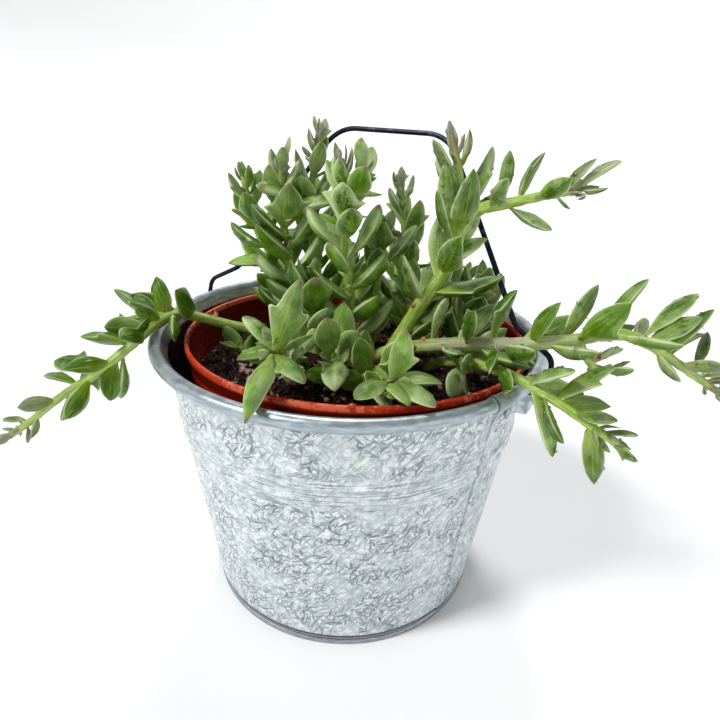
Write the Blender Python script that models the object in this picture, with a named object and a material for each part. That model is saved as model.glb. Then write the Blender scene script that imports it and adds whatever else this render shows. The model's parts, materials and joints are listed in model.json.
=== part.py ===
"""A string of dolphins in its nursery pot, set in a galvanised bucket with a wire handle.

Metres, +Z up. The bucket stands on Z = 0 around the Z axis, and its front faces -Y.
Routes of the stems are in millimetres, chosen by eye along each visible stem.
"""

import math
import random

import bmesh
import bpy
from mathutils import Matrix, Vector
from mathutils.bvhtree import BVHTree

MM = 0.001
UP = Vector((0, 0, 1))

# The bucket
RIM_RADIUS = 70 * MM
RIM_BEAD = 2.2 * MM
RIM_LEVEL = 99.35 * MM
FOOT_RADIUS = 51.7 * MM
FOOT_WIDTH = 2.1 * MM
FOOT_HEIGHT = 2.2 * MM
WALL_FOOT_RADIUS = 51.36 * MM
WALL_SLOPE = 0.1373
WALL = 0.7 * MM
GROOVE = 0.5 * MM
RIB_LEVELS = (69 * MM, 74.2 * MM)
RIB_PROUD = 0.7 * MM
RIB_HALF = 1.7 * MM
SEAM_ANGLE = math.radians(-44)
SEAM_HALF = 2.2 * MM
SEAM_PROUD = 0.45 * MM
BUCKET_SIDES = 44
GAP = 0.3 * MM
BOTTOM_THICK = 0.8 * MM

# The ears and the wire handle
EAR_ANGLE = math.radians(-30)
PIVOT_LEVEL = 92 * MM
EAR_HALF_HEIGHT = 3.5 * MM
EAR_STAND_OFF = 4.0 * MM
EAR_SHEET = 0.8 * MM
EAR_HOLE = 1.35 * MM
RIVET = 1.6 * MM
WIRE = 0.9 * MM
HANDLE_HALF_SPAN = 71.5 * MM
HANDLE_UPRIGHT = 13.5 * MM
HANDLE_SHOULDER = (58 * MM, 21 * MM)
HANDLE_HALF_TOP = 21.9 * MM
HANDLE_HEIGHT = 78.3 * MM
HANDLE_BENDS = (2 * MM, 4.5 * MM, 6 * MM, 14 * MM)
WIRE_SIDES = 6
HANDLE_LEAN = math.radians(17.3)
HANDLE_BACK = math.radians(44.3)

# The nursery pot and what fills it
POT_CENTRE = Vector((2.8 * MM, 0, 0))
POT_TILT = math.radians(-1.7)
POT_HEIGHT = 94.6 * MM
POT_BASE_RADIUS = 42.5 * MM
POT_NECK_RADIUS = 57.8 * MM
POT_BAND_RADIUS = 59 * MM
POT_LIP_RADIUS = 61.1 * MM
POT_LIP_HEIGHT = 13 * MM
POT_WALL = 0.9 * MM
POT_SIDES = 40
DRAIN_RADIUS = 4 * MM
DRAIN_CIRCLE = 28 * MM
SOIL_BELOW_LIP = 13 * MM
SOIL_MOUND = 2 * MM
SOIL_CRUMB = 0.8 * MM
SOIL_RINGS = 5
SOIL_SIDES = 26
HOLE_CLEARANCE = 0.5 * MM
HOLE_DEPTH = 13 * MM
HOLE_SIDES = 8

# The leaves
GOLDEN_ANGLE = math.radians(137.5)
LEAF_WIDTH_SHARE = 0.42
LEAF_THICK_SHARE = 0.62
LEAF_MARGIN = 0.35 * MM
LEAF_RINGS = ((0.16, 0.5), (0.5, 1.0), (0.8, 0.66))
SMALL_LEAF = 15.5 * MM
SMALL_LEAF_RINGS = ((0.22, 0.66), (0.62, 0.95))
FIN_REACH = 1.55
FIN_SHARE = 0.3
FLAT_ANGLE = math.radians(4)
STEM_SIDES = 5
STEM_STEP = 8 * MM
TIP_SINK = 1.5 * MM
TIP_TAPER = 0.6
CURVE_STEP = 1.5 * MM
PLACED_ARCH = 0.2

# Each leafy stem: its shoots, and each shoot's route from the soil, or from its parent, outwards.
# thick is the diameter at the start and the end, bare the length without leaves, leaf the length
# of a full leaf, step the distance between leaves, lift how strongly they turn upwards, and
# placed the leaves set one by one: distance back from the tip, direction, length, width, fins.
STEMS = {
    "stem_left": (
        dict(
            route=((-20, 13, 78), (-23, 12, 89), (-33, 8, 94), (-45, 4, 98), (-54, 0, 102),
                   (-61, -5, 105), (-66, -15, 104.5), (-73, -24, 99), (-82, -28, 92),
                   (-94, -30, 84), (-105, -32, 75), (-115, -32, 68)),
            thick=(4.4, 2.0), bare=52, leaf=15, step=4.2, phase=40, lift=0.1,
            placed=((66, (-5, -2, 9), 12, 6, 0), (40, (-9, 1, 3), 14, 7, 1),
                    (48, (-2, -3, -9), 15, 7, 0)),
        ),
        dict(
            route=((-60, -4, 104.5), (-66, -8, 105.5), (-72, -11, 105.5), (-77, -13, 105)),
            thick=(3.0, 1.8), bare=6, leaf=12, step=3.0, phase=200, lift=0.1,
            placed=((14, (-3, 3, 9), 14, 7, 0),),
        ),
    ),
    "stem_old_right": (
        dict(
            route=((6, -8, 78), (8, -9, 90), (15, -11.5, 97), (27, -18, 102), (39, -27, 107),
                   (51, -38, 112), (65, -43, 116), (76, -43, 118.5), (87, -42, 115),
                   (102, -40, 106), (115, -38, 98)),
            thick=(5.6, 2.0), bare=38, leaf=17, step=4.4, phase=95, lift=0.55,
            placed=((26, (6, 1, 9), 18, 7, 0), (36, (7, 1, 8), 20, 8, 0), (14, (2, 1, 9), 13, 5, 0),
                    (8, (9, 0, 4), 12, 5, 0)),
        ),
        dict(
            route=((14, -11, 96), (18, -11.5, 104), (22, -14, 113), (28, -18, 125),
                   (32, -20, 135), (33, -20, 146), (31, -20, 157), (28, -18, 168)),
            thick=(4.8, 2.0), bare=20, leaf=19, step=4.6, phase=10, lift=0.25,
            placed=((30, (-6, -4, 22), 25, 9, 0), (26, (9, 3, 9), 17, 8, 0), (54, (9, 2, 4), 20, 8, 0),
                    (38, (10, 1, 9), 15, 8, 0)),
        ),
        dict(
            route=((33, -20, 145), (38, -20, 148), (46, -23, 150.5), (56, -26, 153.5),
                   (65, -30, 156)),
            thick=(3.8, 1.8), bare=9, leaf=15, step=4.0, phase=150, lift=0.35,
            placed=((3, (7, 0, 6), 14, 6, 0), (24, (1, 0, 9), 15, 6, 0)),
        ),
        dict(
            route=((66, -43, 116), (70, -43.5, 110), (74, -44, 107), (78, -45, 109)),
            thick=(2.8, 1.6), bare=9, leaf=10, step=3.0, phase=60, lift=0.4, placed=(),
        ),
    ),
    "stem_low_right": (
        dict(
            route=((26, -6, 78), (29, -9, 90), (36, -21, 98), (45, -41, 104.5),
                   (54, -53, 104.5), (65, -62, 100), (73, -67, 96)),
            thick=(4.2, 2.0), bare=26, leaf=18, step=4.6, phase=-60, lift=0.15,
            placed=((28, (4, -3, -8), 22, 8, 0), (9, (2, -2, -9), 18, 7, 0),
                    (20, (9, 2, 6), 19, 8, 1)),
        ),
    ),
    "stem_front_left": (
        dict(
            route=((-14, -6, 78), (-15.5, -10, 90), (-19, -22, 98), (-21, -34, 104),
                   (-22, -46, 107.5)),
            thick=(3.6, 2.2), bare=22, leaf=15, step=3.0, phase=30, lift=0.2,
            placed=((1, (-2, -30, -1.8), 31, 9, 0), (5, (7, -1, 22), 25, 9, 2),
                    (3, (9, -14, 1), 19, 8, 1), (7, (-6, 4, 6), 16, 8, 0), (9, (-8, -8, 3), 15, 8, 1)),
        ),
    ),
    "stem_front": (
        dict(
            route=((2, -14, 78), (4, -18, 90), (8, -29, 96), (12, -42, 101), (13.5, -54, 104)),
            thick=(3.6, 2.2), bare=16, leaf=16, step=3.3, phase=80, lift=0.25,
            placed=((2, (9, -10, 1.5), 17, 7, 0), (3, (3, -3, 14), 18, 6, 1),
                    (3, (-9, -8, 1), 14, 7, 0), (2, (4, -12, 1), 13, 6, 0), (4, (9, -2, 2), 15, 7, 0)),
        ),
    ),
    "stem_front_inner": (
        dict(
            route=((-5, -9, 78), (-5, -13, 90), (-5, -22, 96), (-4, -32, 101)),
            thick=(3.4, 2.2), bare=8, leaf=18, step=3.0, phase=0, lift=0.3,
            placed=((2, (1, -12, 0), 17, 8, 0), (6, (-9, 1, 4), 17, 8, 0), (3, (7, -6, 3), 15, 7, 0)),
        ),
    ),
    "stem_tall_left": (
        dict(
            route=((-18, 22, 78), (-20, 22, 90), (-23, 20, 104), (-31, 16, 122),
                   (-36, 12, 137), (-39, 10, 151)),
            thick=(3.8, 1.8), bare=18, leaf=18, step=3.5, phase=120, lift=0.25,
            placed=((34, (-9, -3, 1), 17, 8, 0), (26, (9, -3, 4), 17, 8, 0)),
        ),
    ),
    "stem_tall_mid": (
        dict(
            route=((-12, 9, 78), (-16, 11, 94), (-20, 12, 106), (-23, 8, 126),
                   (-25, 4, 142), (-24, 3, 158)),
            thick=(3.8, 1.8), bare=18, leaf=19, step=3.7, phase=250, lift=0.3,
            placed=((20, (18, -4, 8), 21, 9, 0), (13, (-3, -8, 4), 14, 9, 0)),
        ),
    ),
    "stem_tall_back": (
        dict(
            route=((-6, 20, 78), (-9, 18, 95), (-13, 16, 108), (-15, 12, 129),
                   (-15, 10, 149), (-12, 8, 168)),
            thick=(3.6, 1.6), bare=24, leaf=18, step=3.9, phase=300, lift=0.35, placed=(),
        ),
    ),
    "stem_purple": (
        dict(
            route=((-2, 2, 78), (-1, 3, 90), (0, 2, 104), (-1, -2, 120), (-3, -6, 134),
                   (-2, -10, 146), (-4, -12, 160)),
            thick=(4.2, 2.2), bare=18, leaf=19, step=3.8, phase=15, lift=0.3, placed=(),
        ),
        dict(
            route=((-2, -9, 144), (1, -12, 151), (4, -13, 157)),
            thick=(2.8, 1.8), bare=3, leaf=14, step=3.0, phase=100, lift=0.5, placed=(),
        ),
    ),
    "stem_thin_back": (
        dict(
            route=((19, 22, 78), (21, 22, 92), (21, 22, 108), (20, 21, 122), (18, 20, 136),
                   (16, 20, 151)),
            thick=(3.2, 1.6), bare=20, leaf=17, step=4.2, phase=70, lift=0.4, placed=(),
        ),
    ),
    "stem_right_upright": (
        dict(
            route=((36, 12, 78), (40, 10, 90), (45, 5, 104), (49, 1, 121)),
            thick=(3.2, 1.8), bare=12, leaf=18, step=3.4, phase=45, lift=0.5, placed=(),
        ),
    ),
    "stem_centre": (
        dict(
            route=((22, 8, 78), (22, 5, 92), (21, 0, 104), (22, -3, 118)),
            thick=(3.4, 1.8), bare=10, leaf=19, step=3.2, phase=190, lift=0.3, placed=(),
        ),
    ),
    "stem_inner_left": (
        dict(
            route=((-12, 2, 78), (-13, 3, 92), (-14, 0, 108), (-14, -3, 124)),
            thick=(3.4, 1.8), bare=10, leaf=20, step=3.2, phase=225, lift=0.3, placed=(),
        ),
    ),
    "stem_inner_right": (
        dict(
            route=((8, 12, 78), (8, 13, 94), (9, 10, 112), (10, 6, 128), (11, 4, 138)),
            thick=(3.6, 1.8), bare=14, leaf=19, step=3.6, phase=330, lift=0.3, placed=(),
        ),
    ),
    "stem_back_left": (
        dict(
            route=((-22, 36, 78), (-26, 39, 90), (-30, 43, 102), (-33, 47, 112)),
            thick=(3.2, 1.8), bare=10, leaf=18, step=4.0, phase=160, lift=0.3, placed=(),
        ),
    ),
    "stem_back": (
        dict(
            route=((4, 36, 78), (4, 37, 92), (2, 38, 106), (1, 38, 118)),
            thick=(3.2, 1.8), bare=12, leaf=18, step=4.0, phase=20, lift=0.3, placed=(),
        ),
    ),
    "stem_back_right": (
        dict(
            route=((33, 30, 78), (37, 32, 91), (42, 33, 103), (46, 34, 113)),
            thick=(3.2, 1.8), bare=10, leaf=18, step=4.0, phase=75, lift=0.3, placed=(),
        ),
    ),
    "stem_over_back": (
        dict(
            route=((16, 44, 78), (17, 49, 90), (18, 56, 100), (19, 64, 105), (20, 70, 103)),
            thick=(3.4, 1.8), bare=16, leaf=15, step=4.0, phase=10, lift=0.1, placed=(),
        ),
    ),
    "stem_on_soil": (
        dict(
            route=((-34, -4, 78), (-37, -4.5, 90), (-42, -6, 94)),
            thick=(2.8, 1.8), bare=6, leaf=13, step=2.8, phase=130, lift=0.35, placed=(),
        ),
    ),
}


def make_material(name, colour, roughness, metallic=0.0):
    material = bpy.data.materials.new(name)
    material.use_nodes = True
    shader = material.node_tree.nodes["Principled BSDF"]
    shader.inputs["Base Color"].default_value = (*colour, 1)
    shader.inputs["Roughness"].default_value = roughness
    shader.inputs["Metallic"].default_value = metallic
    return material


def add_object(name, vertices, faces, material):
    """A closed mesh whose faces all point outwards."""
    mesh = bpy.data.meshes.new(name)
    mesh.from_pydata([tuple(v) for v in vertices], [], faces)
    work = bmesh.new()
    work.from_mesh(mesh)
    bmesh.ops.recalc_face_normals(work, faces=work.faces)
    work.to_mesh(mesh)
    work.free()
    mesh.materials.append(material)
    mesh.shade_smooth()
    mesh.set_sharp_from_angle(angle=math.radians(35))
    obj = bpy.data.objects.new(name, mesh)
    bpy.context.scene.collection.objects.link(obj)
    return obj


def turned(profile, angles):
    """Vertices and faces of a closed outline of (radius, level) turned round the Z axis."""
    vertices = []
    for angle in angles:
        for radius, level in profile:
            vertices.append(Vector((radius * math.cos(angle), radius * math.sin(angle), level)))
    rows, count = len(angles), len(profile)
    faces = []
    for i in range(rows):
        for j in range(count):
            here, there = i * count, (i + 1) % rows * count
            k = (j + 1) % count
            faces.append((here + j, here + k, there + k, there + j))
    return vertices, faces


def turned_cap(profile, angles):
    """The same for an open outline that starts and ends on the axis, with a point at each pole."""
    inner = profile[1:-1]
    vertices = [Vector((0, 0, profile[0][1])), Vector((0, 0, profile[-1][1]))]
    for angle in angles:
        for radius, level in inner:
            vertices.append(Vector((radius * math.cos(angle), radius * math.sin(angle), level)))
    rows, count = len(angles), len(inner)
    faces = []
    for i in range(rows):
        here, there = 2 + i * count, 2 + (i + 1) % rows * count
        faces.append((0, here, there))
        for j in range(count - 1):
            faces.append((here + j, here + j + 1, there + j + 1, there + j))
        faces.append((1, there + count - 1, here + count - 1))
    return vertices, faces


def apply_modifiers(obj):
    graph = bpy.context.evaluated_depsgraph_get()
    mesh = bpy.data.meshes.new_from_object(obj.evaluated_get(graph))
    obj.modifiers.clear()
    obj.data = mesh


def combine(obj, others, operation):
    """Joins the other objects to obj, or cuts them from it, in one Boolean, and removes them."""
    group = bpy.data.collections.new("others")
    bpy.context.scene.collection.children.link(group)
    for other in others:
        bpy.context.scene.collection.objects.unlink(other)
        group.objects.link(other)
    boolean = obj.modifiers.new("Combine", "BOOLEAN")
    boolean.operation = operation
    boolean.operand_type = "COLLECTION"
    boolean.collection = group
    boolean.solver = "MANIFOLD"
    apply_modifiers(obj)
    for other in others:
        bpy.data.objects.remove(other)
    bpy.data.collections.remove(group)


def merge_flat_faces(obj):
    """Merges the nearly flat faces that a union leaves around each joint."""
    work = bmesh.new()
    work.from_mesh(obj.data)
    bmesh.ops.dissolve_limit(work, angle_limit=FLAT_ANGLE, verts=work.verts, edges=work.edges)
    bmesh.ops.triangulate(work, faces=work.faces)
    work.to_mesh(obj.data)
    work.free()


def wall_radius(level):
    return WALL_FOOT_RADIUS + WALL_SLOPE * level


def even_angles(count, start=0.0):
    return [start + 2 * math.pi * i / count for i in range(count)]


def bucket_profile():
    """The wall's closed outline: up the outside from the foot, round the rim's bead, down the inside."""
    foot_inside = FOOT_RADIUS - FOOT_WIDTH
    points = [
        (foot_inside, 0),
        (FOOT_RADIUS - 0.3 * MM, 0),
        (FOOT_RADIUS, 0.4 * MM),
        (FOOT_RADIUS, FOOT_HEIGHT - 0.4 * MM),
        (FOOT_RADIUS - GROOVE, FOOT_HEIGHT + 0.1 * MM),
        (wall_radius(FOOT_HEIGHT + 0.8 * MM), FOOT_HEIGHT + 0.8 * MM),
    ]
    for rib in RIB_LEVELS:
        for offset, proud in ((-RIB_HALF, 0), (0, RIB_PROUD), (RIB_HALF, 0)):
            points.append((wall_radius(rib + offset) + proud, rib + offset))
    bead_centre = RIM_RADIUS - RIM_BEAD
    points.append((wall_radius(95.6 * MM), 95.6 * MM))
    for degrees in (-140, -95, -45, 0, 45, 90, 135, 180):
        angle = math.radians(degrees)
        radius = bead_centre + RIM_BEAD * math.cos(angle)
        points.append((radius, RIM_LEVEL + RIM_BEAD * math.sin(angle)))
    inside_top = RIM_LEVEL - RIM_BEAD
    points.append((wall_radius(inside_top) - WALL, inside_top))
    for rib in reversed(RIB_LEVELS):
        points.append((wall_radius(rib) + 0.5 * RIB_PROUD - WALL, rib))
    seat = FOOT_HEIGHT + 0.1 * MM
    points.append((wall_radius(seat) - WALL, seat))
    points.append((foot_inside, seat))
    return points


def make_bucket(material):
    profile = bucket_profile()
    half = SEAM_HALF / RIM_RADIUS
    seam = [SEAM_ANGLE + offset for offset in (-1.25 * half, -half, half, 1.25 * half)]
    clear = math.pi / BUCKET_SIDES + half
    angles = [
        angle for angle in even_angles(BUCKET_SIDES, SEAM_ANGLE)
        if abs(math.remainder(angle - SEAM_ANGLE, math.tau)) > clear
    ]
    angles = sorted(math.remainder(angle, math.tau) for angle in angles + seam)
    vertices, faces = turned(profile, angles)
    lowest, highest = FOOT_HEIGHT + 0.5 * MM, 96 * MM
    for i, vertex in enumerate(vertices):
        angle = angles[i // len(profile)]
        level, radius = vertex.z, vertex.xy.length
        on_seam = abs(math.remainder(angle - SEAM_ANGLE, math.tau)) < 1.1 * half
        outside = radius > wall_radius(level) - 0.5 * WALL
        if on_seam and outside and lowest < level < highest:
            vertex.xy *= (radius + SEAM_PROUD) / radius
    return add_object("bucket_wall", vertices, faces, material)


def make_bucket_bottom(material):
    low = FOOT_HEIGHT + 0.1 * MM + GAP
    radius = wall_radius(low) - WALL - GAP - 0.1 * MM
    profile = ((0, low), (radius, low), (radius, low + BOTTOM_THICK), (0, low + BOTTOM_THICK))
    return add_object("bucket_bottom", *turned_cap(profile, even_angles(40)), material)


def ear_point(side, across, out, level):
    """A point by its distance along the wall, out from the wall, and level."""
    radius = wall_radius(level)
    angle = EAR_ANGLE + side * math.pi + across / radius
    return Vector(((radius + out) * math.cos(angle), (radius + out) * math.sin(angle), level))


def make_ear(name, side, material):
    """A pressed strip that stands off the wall in its middle, riveted through its two feet."""
    near, far = GAP, GAP + EAR_SHEET
    inside, outside = EAR_STAND_OFF, EAR_STAND_OFF + EAR_SHEET
    front = ((-11, far), (-6.4, far), (-5.0, outside), (5.0, outside), (6.4, far), (11, far))
    back = ((11, near), (5.6, near), (4.2, inside), (-4.2, inside), (-5.6, near), (-11, near))
    outline = [(across * MM, out) for across, out in front + back]
    levels = (PIVOT_LEVEL - EAR_HALF_HEIGHT, PIVOT_LEVEL + EAR_HALF_HEIGHT)
    count = len(outline)
    vertices = [ear_point(side, a, o, level) for level in levels for a, o in outline]
    quads = ((0, 1, 10, 11), (1, 2, 9, 10), (2, 3, 8, 9), (3, 4, 7, 8), (4, 5, 6, 7))
    faces = [tuple(reversed(q)) for q in quads]
    faces += [tuple(count + i for i in q) for q in quads]
    faces += [(i, (i + 1) % count, count + (i + 1) % count, count + i) for i in range(count)]
    ear = add_object(name, vertices, faces, material)
    rivets = []
    for across in (-8.6 * MM, 8.6 * MM):
        centre = ear_point(side, across, 0, PIVOT_LEVEL)
        outwards = Vector((centre.x, centre.y, 0)).normalized()
        rivets.append(cylinder(centre + outwards * 1.35 * MM, outwards, RIVET, 1.3 * MM, 10))
    combine(ear, rivets, "UNION")
    centre = ear_point(side, 0, EAR_STAND_OFF, PIVOT_LEVEL)
    outwards = Vector((centre.x, centre.y, 0)).normalized()
    combine(ear, [cylinder(centre, outwards, EAR_HOLE, 8 * MM, 12)], "DIFFERENCE")
    return ear


def cylinder(centre, axis, radius, length, sides):
    """A closed cylinder around a point, for a Boolean."""
    work = bmesh.new()
    turn = axis.to_track_quat("Z", "Y").to_matrix().to_4x4()
    bmesh.ops.create_cone(
        work, cap_ends=True, segments=sides, radius1=radius, radius2=radius, depth=length,
        matrix=Matrix.Translation(centre) @ turn,
    )
    mesh = bpy.data.meshes.new("tool")
    work.to_mesh(mesh)
    work.free()
    obj = bpy.data.objects.new("tool", mesh)
    bpy.context.scene.collection.objects.link(obj)
    return obj


def rounded_path(corners, radii, steps=4):
    """The corners of an open path, each inner one replaced by an arc of its own radius."""
    points = [corners[0]]
    for before, corner, after, radius in zip(corners, corners[1:], corners[2:], radii):
        one, two = before - corner, after - corner
        half = one.angle(two) / 2
        reach = min(radius / math.tan(half), 0.45 * one.length, 0.45 * two.length)
        one.normalize()
        two.normalize()
        bend = reach * math.tan(half)
        centre = corner + (one + two).normalized() * bend / math.sin(half)
        start, end = corner + one * reach - centre, corner + two * reach - centre
        for i in range(steps + 1):
            points.append(centre + start.slerp(end, i / steps).normalized() * bend)
    points.append(corners[-1])
    return points


def tube(points, radii, sides):
    """Vertices and faces of a closed tube, with a ring of sides at each point."""
    vertices, faces = [], []
    tangents = []
    for i in range(len(points)):
        ahead = points[min(i + 1, len(points) - 1)]
        behind = points[max(i - 1, 0)]
        tangents.append((ahead - behind).normalized())
    across = tangents[0].orthogonal().normalized()
    for point, tangent, radius in zip(points, tangents, radii):
        across = (across - tangent * across.dot(tangent)).normalized()
        other = tangent.cross(across)
        for k in range(sides):
            angle = 2 * math.pi * k / sides
            vertices.append(point + (across * math.cos(angle) + other * math.sin(angle)) * radius)
    for i in range(len(points) - 1):
        for k in range(sides):
            a, b = i * sides + k, i * sides + (k + 1) % sides
            faces.append((a, b, b + sides, a + sides))
    faces.append(tuple(reversed(range(sides))))
    last = (len(points) - 1) * sides
    faces.append(tuple(range(last, last + sides)))
    return vertices, faces


def handle_axes():
    along = Vector((math.cos(EAR_ANGLE), math.sin(EAR_ANGLE), 0))
    back = Vector((-math.sin(EAR_ANGLE), math.cos(EAR_ANGLE), 0))
    return along, back


def handle_corners():
    """Half of the wire's outline, from its end to the middle of its top: across, and above the ears."""
    return [
        Vector((HANDLE_HALF_SPAN, 0)), Vector((HANDLE_HALF_SPAN, HANDLE_UPRIGHT)),
        Vector(HANDLE_SHOULDER), Vector((HANDLE_HALF_TOP, HANDLE_HEIGHT)),
    ]


def make_handle(material):
    """The wire: a flat top, legs that spread to a shoulder, and ends turned in through the ears."""
    along, back = handle_axes()
    rise = UP * math.cos(HANDLE_LEAN) + back * math.sin(HANDLE_LEAN)
    ear_inside = wall_radius(PIVOT_LEVEL) + EAR_STAND_OFF
    head_in, head_out = ear_inside - 2.1 * MM, ear_inside - 0.9 * MM
    half = [Vector((head_out, 0))] + handle_corners()
    flat = half + [Vector((-corner.x, corner.y)) for corner in reversed(half)]
    corners = [along * corner.x + rise * corner.y for corner in flat]
    wire = rounded_path(corners, HANDLE_BENDS + HANDLE_BENDS[::-1])
    head = [along * head_in, along * (head_out - 0.02 * MM)]
    path = head + wire + [-head[1], -head[0]]
    radii = [2 * WIRE] * 2 + [WIRE] * len(wire) + [2 * WIRE] * 2
    handle = add_object("handle", *tube(path, radii, WIRE_SIDES), material)
    handle.location = UP * PIVOT_LEVEL
    return handle


def pot_place():
    """Turns the pot about its base's back edge, which stands on the bucket's bottom."""
    floor = FOOT_HEIGHT + 0.1 * MM + 2 * GAP + BOTTOM_THICK
    turn = Matrix.Rotation(POT_TILT, 4, "X")
    back_edge = turn @ Vector((0, POT_BASE_RADIUS, 0))
    top = turn @ Vector((0, 0, POT_HEIGHT))
    return Matrix.Translation(POT_CENTRE + Vector((0, -top.y, floor - back_edge.z))) @ turn


def pot_radius(level):
    """The pot's outer radius below its lip band."""
    share = level / (POT_HEIGHT - POT_LIP_HEIGHT)
    return POT_BASE_RADIUS + (POT_NECK_RADIUS - POT_BASE_RADIUS) * share


def make_pot(material):
    band = POT_HEIGHT - POT_LIP_HEIGHT
    outer = [
        (0, 0), (POT_BASE_RADIUS - 1 * MM, 0), (POT_BASE_RADIUS, 1 * MM),
        (pot_radius(band), band), (POT_BAND_RADIUS, band + 0.8 * MM),
        (POT_LIP_RADIUS - 0.7 * MM, POT_HEIGHT - 3 * MM), (POT_LIP_RADIUS, POT_HEIGHT - 2 * MM),
        (POT_LIP_RADIUS, POT_HEIGHT),
    ]
    inner = [
        (POT_LIP_RADIUS - 1.2 * MM, POT_HEIGHT), (POT_BAND_RADIUS - POT_WALL, band),
        (pot_radius(band) - POT_WALL, band - 1 * MM),
        (pot_radius(POT_WALL) - POT_WALL - 0.5 * MM, POT_WALL), (0, POT_WALL),
    ]
    place = pot_place()
    pot = add_object("nursery_pot", *turned_cap(outer + inner, even_angles(POT_SIDES)), material)
    pot.matrix_world = place
    drains = []
    for angle in even_angles(6):
        centre = Vector((math.cos(angle), math.sin(angle), 0)) * DRAIN_CIRCLE
        drains.append(cylinder(place @ centre, place.to_3x3() @ UP, DRAIN_RADIUS, 6 * MM, 12))
    combine(pot, drains, "DIFFERENCE")
    return pot


def soil_top(x, y, draw):
    """The level of the mix above the pot's base: a low mound with a crumbly surface."""
    share = math.hypot(x, y) / POT_LIP_RADIUS
    level = POT_HEIGHT - SOIL_BELOW_LIP + SOIL_MOUND * (1 - share * share)
    return level + draw.uniform(-SOIL_CRUMB, SOIL_CRUMB)


def make_soil(material, holes):
    draw = random.Random(4)
    edge = POT_NECK_RADIUS - POT_WALL - GAP
    low = POT_WALL + GAP
    foot = pot_radius(low) - POT_WALL - 0.6 * MM - GAP
    vertices = [Vector((0, 0, soil_top(0, 0, draw))), Vector((0, 0, low))]
    for angle in even_angles(SOIL_SIDES):
        for ring in range(1, SOIL_RINGS + 1):
            radius = edge * ring / SOIL_RINGS
            x, y = radius * math.cos(angle), radius * math.sin(angle)
            level = soil_top(x, y, draw) if ring < SOIL_RINGS else POT_HEIGHT - POT_LIP_HEIGHT - 1.5 * MM
            vertices.append(Vector((x, y, level)))
        vertices.append(Vector((foot * math.cos(angle), foot * math.sin(angle), low)))
    count = SOIL_RINGS + 1
    faces = []
    for i in range(SOIL_SIDES):
        here, there = 2 + i * count, 2 + (i + 1) % SOIL_SIDES * count
        faces.append((0, here, there))
        for j in range(count - 1):
            faces.append((here + j, here + j + 1, there + j + 1, there + j))
        faces.append((1, there + count - 1, here + count - 1))
    soil = add_object("potting_mix", vertices, faces, material)
    soil.matrix_world = pot_place()
    tools = [cylinder(*hole) for hole in holes]
    combine(soil, tools, "DIFFERENCE")
    return soil


def smooth_route(route, step):
    """Points about one step apart on a Catmull-Rom curve through the route's points."""
    points = [Vector(p) * MM for p in route]
    ends = [2 * points[0] - points[1]] + points + [2 * points[-1] - points[-2]]
    curve = []
    for a, b, c, d in zip(ends, ends[1:], ends[2:], ends[3:]):
        pieces = max(1, round((c - b).length / step))
        for i in range(pieces):
            t = i / pieces
            curve.append(
                0.5 * (2 * b + (c - a) * t + (2 * a - 5 * b + 4 * c - d) * t * t
                       + (3 * b - a - 3 * c + d) * t * t * t)
            )
    curve.append(points[-1])
    return curve


def walk(points, distance):
    """The point and the direction at a distance along a run of straight pieces."""
    for a, b in zip(points, points[1:]):
        piece = (b - a).length
        if distance <= piece:
            break
        distance -= piece
    return a.lerp(b, min(max(distance / piece, 0), 1)), (b - a).normalized()


def run_length(points):
    return sum((b - a).length for a, b in zip(points, points[1:]))


class Route:
    """A shoot's centre line: stations at even distances along its curve."""

    def __init__(self, shoot):
        curve = smooth_route(shoot["route"], CURVE_STEP)
        length = run_length(curve)
        count = max(3, round(length / STEM_STEP))
        self.points = [walk(curve, length * i / count)[0] for i in range(count + 1)]
        self.length = run_length(self.points)
        self.thick = [thick * MM / 2 for thick in shoot["thick"]]

    def radius(self, distance):
        return self.thick[0] + (self.thick[1] - self.thick[0]) * distance / self.length

    def at(self, distance):
        """The point, direction and radius at a distance along the shoot."""
        return *walk(self.points, distance), self.radius(distance)


def shoot_tube(route):
    count = len(route.points) - 1
    radii = [route.radius(route.length * i / count) for i in range(count + 1)]
    radii[-1] *= TIP_TAPER
    return tube(route.points, radii, STEM_SIDES)


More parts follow.
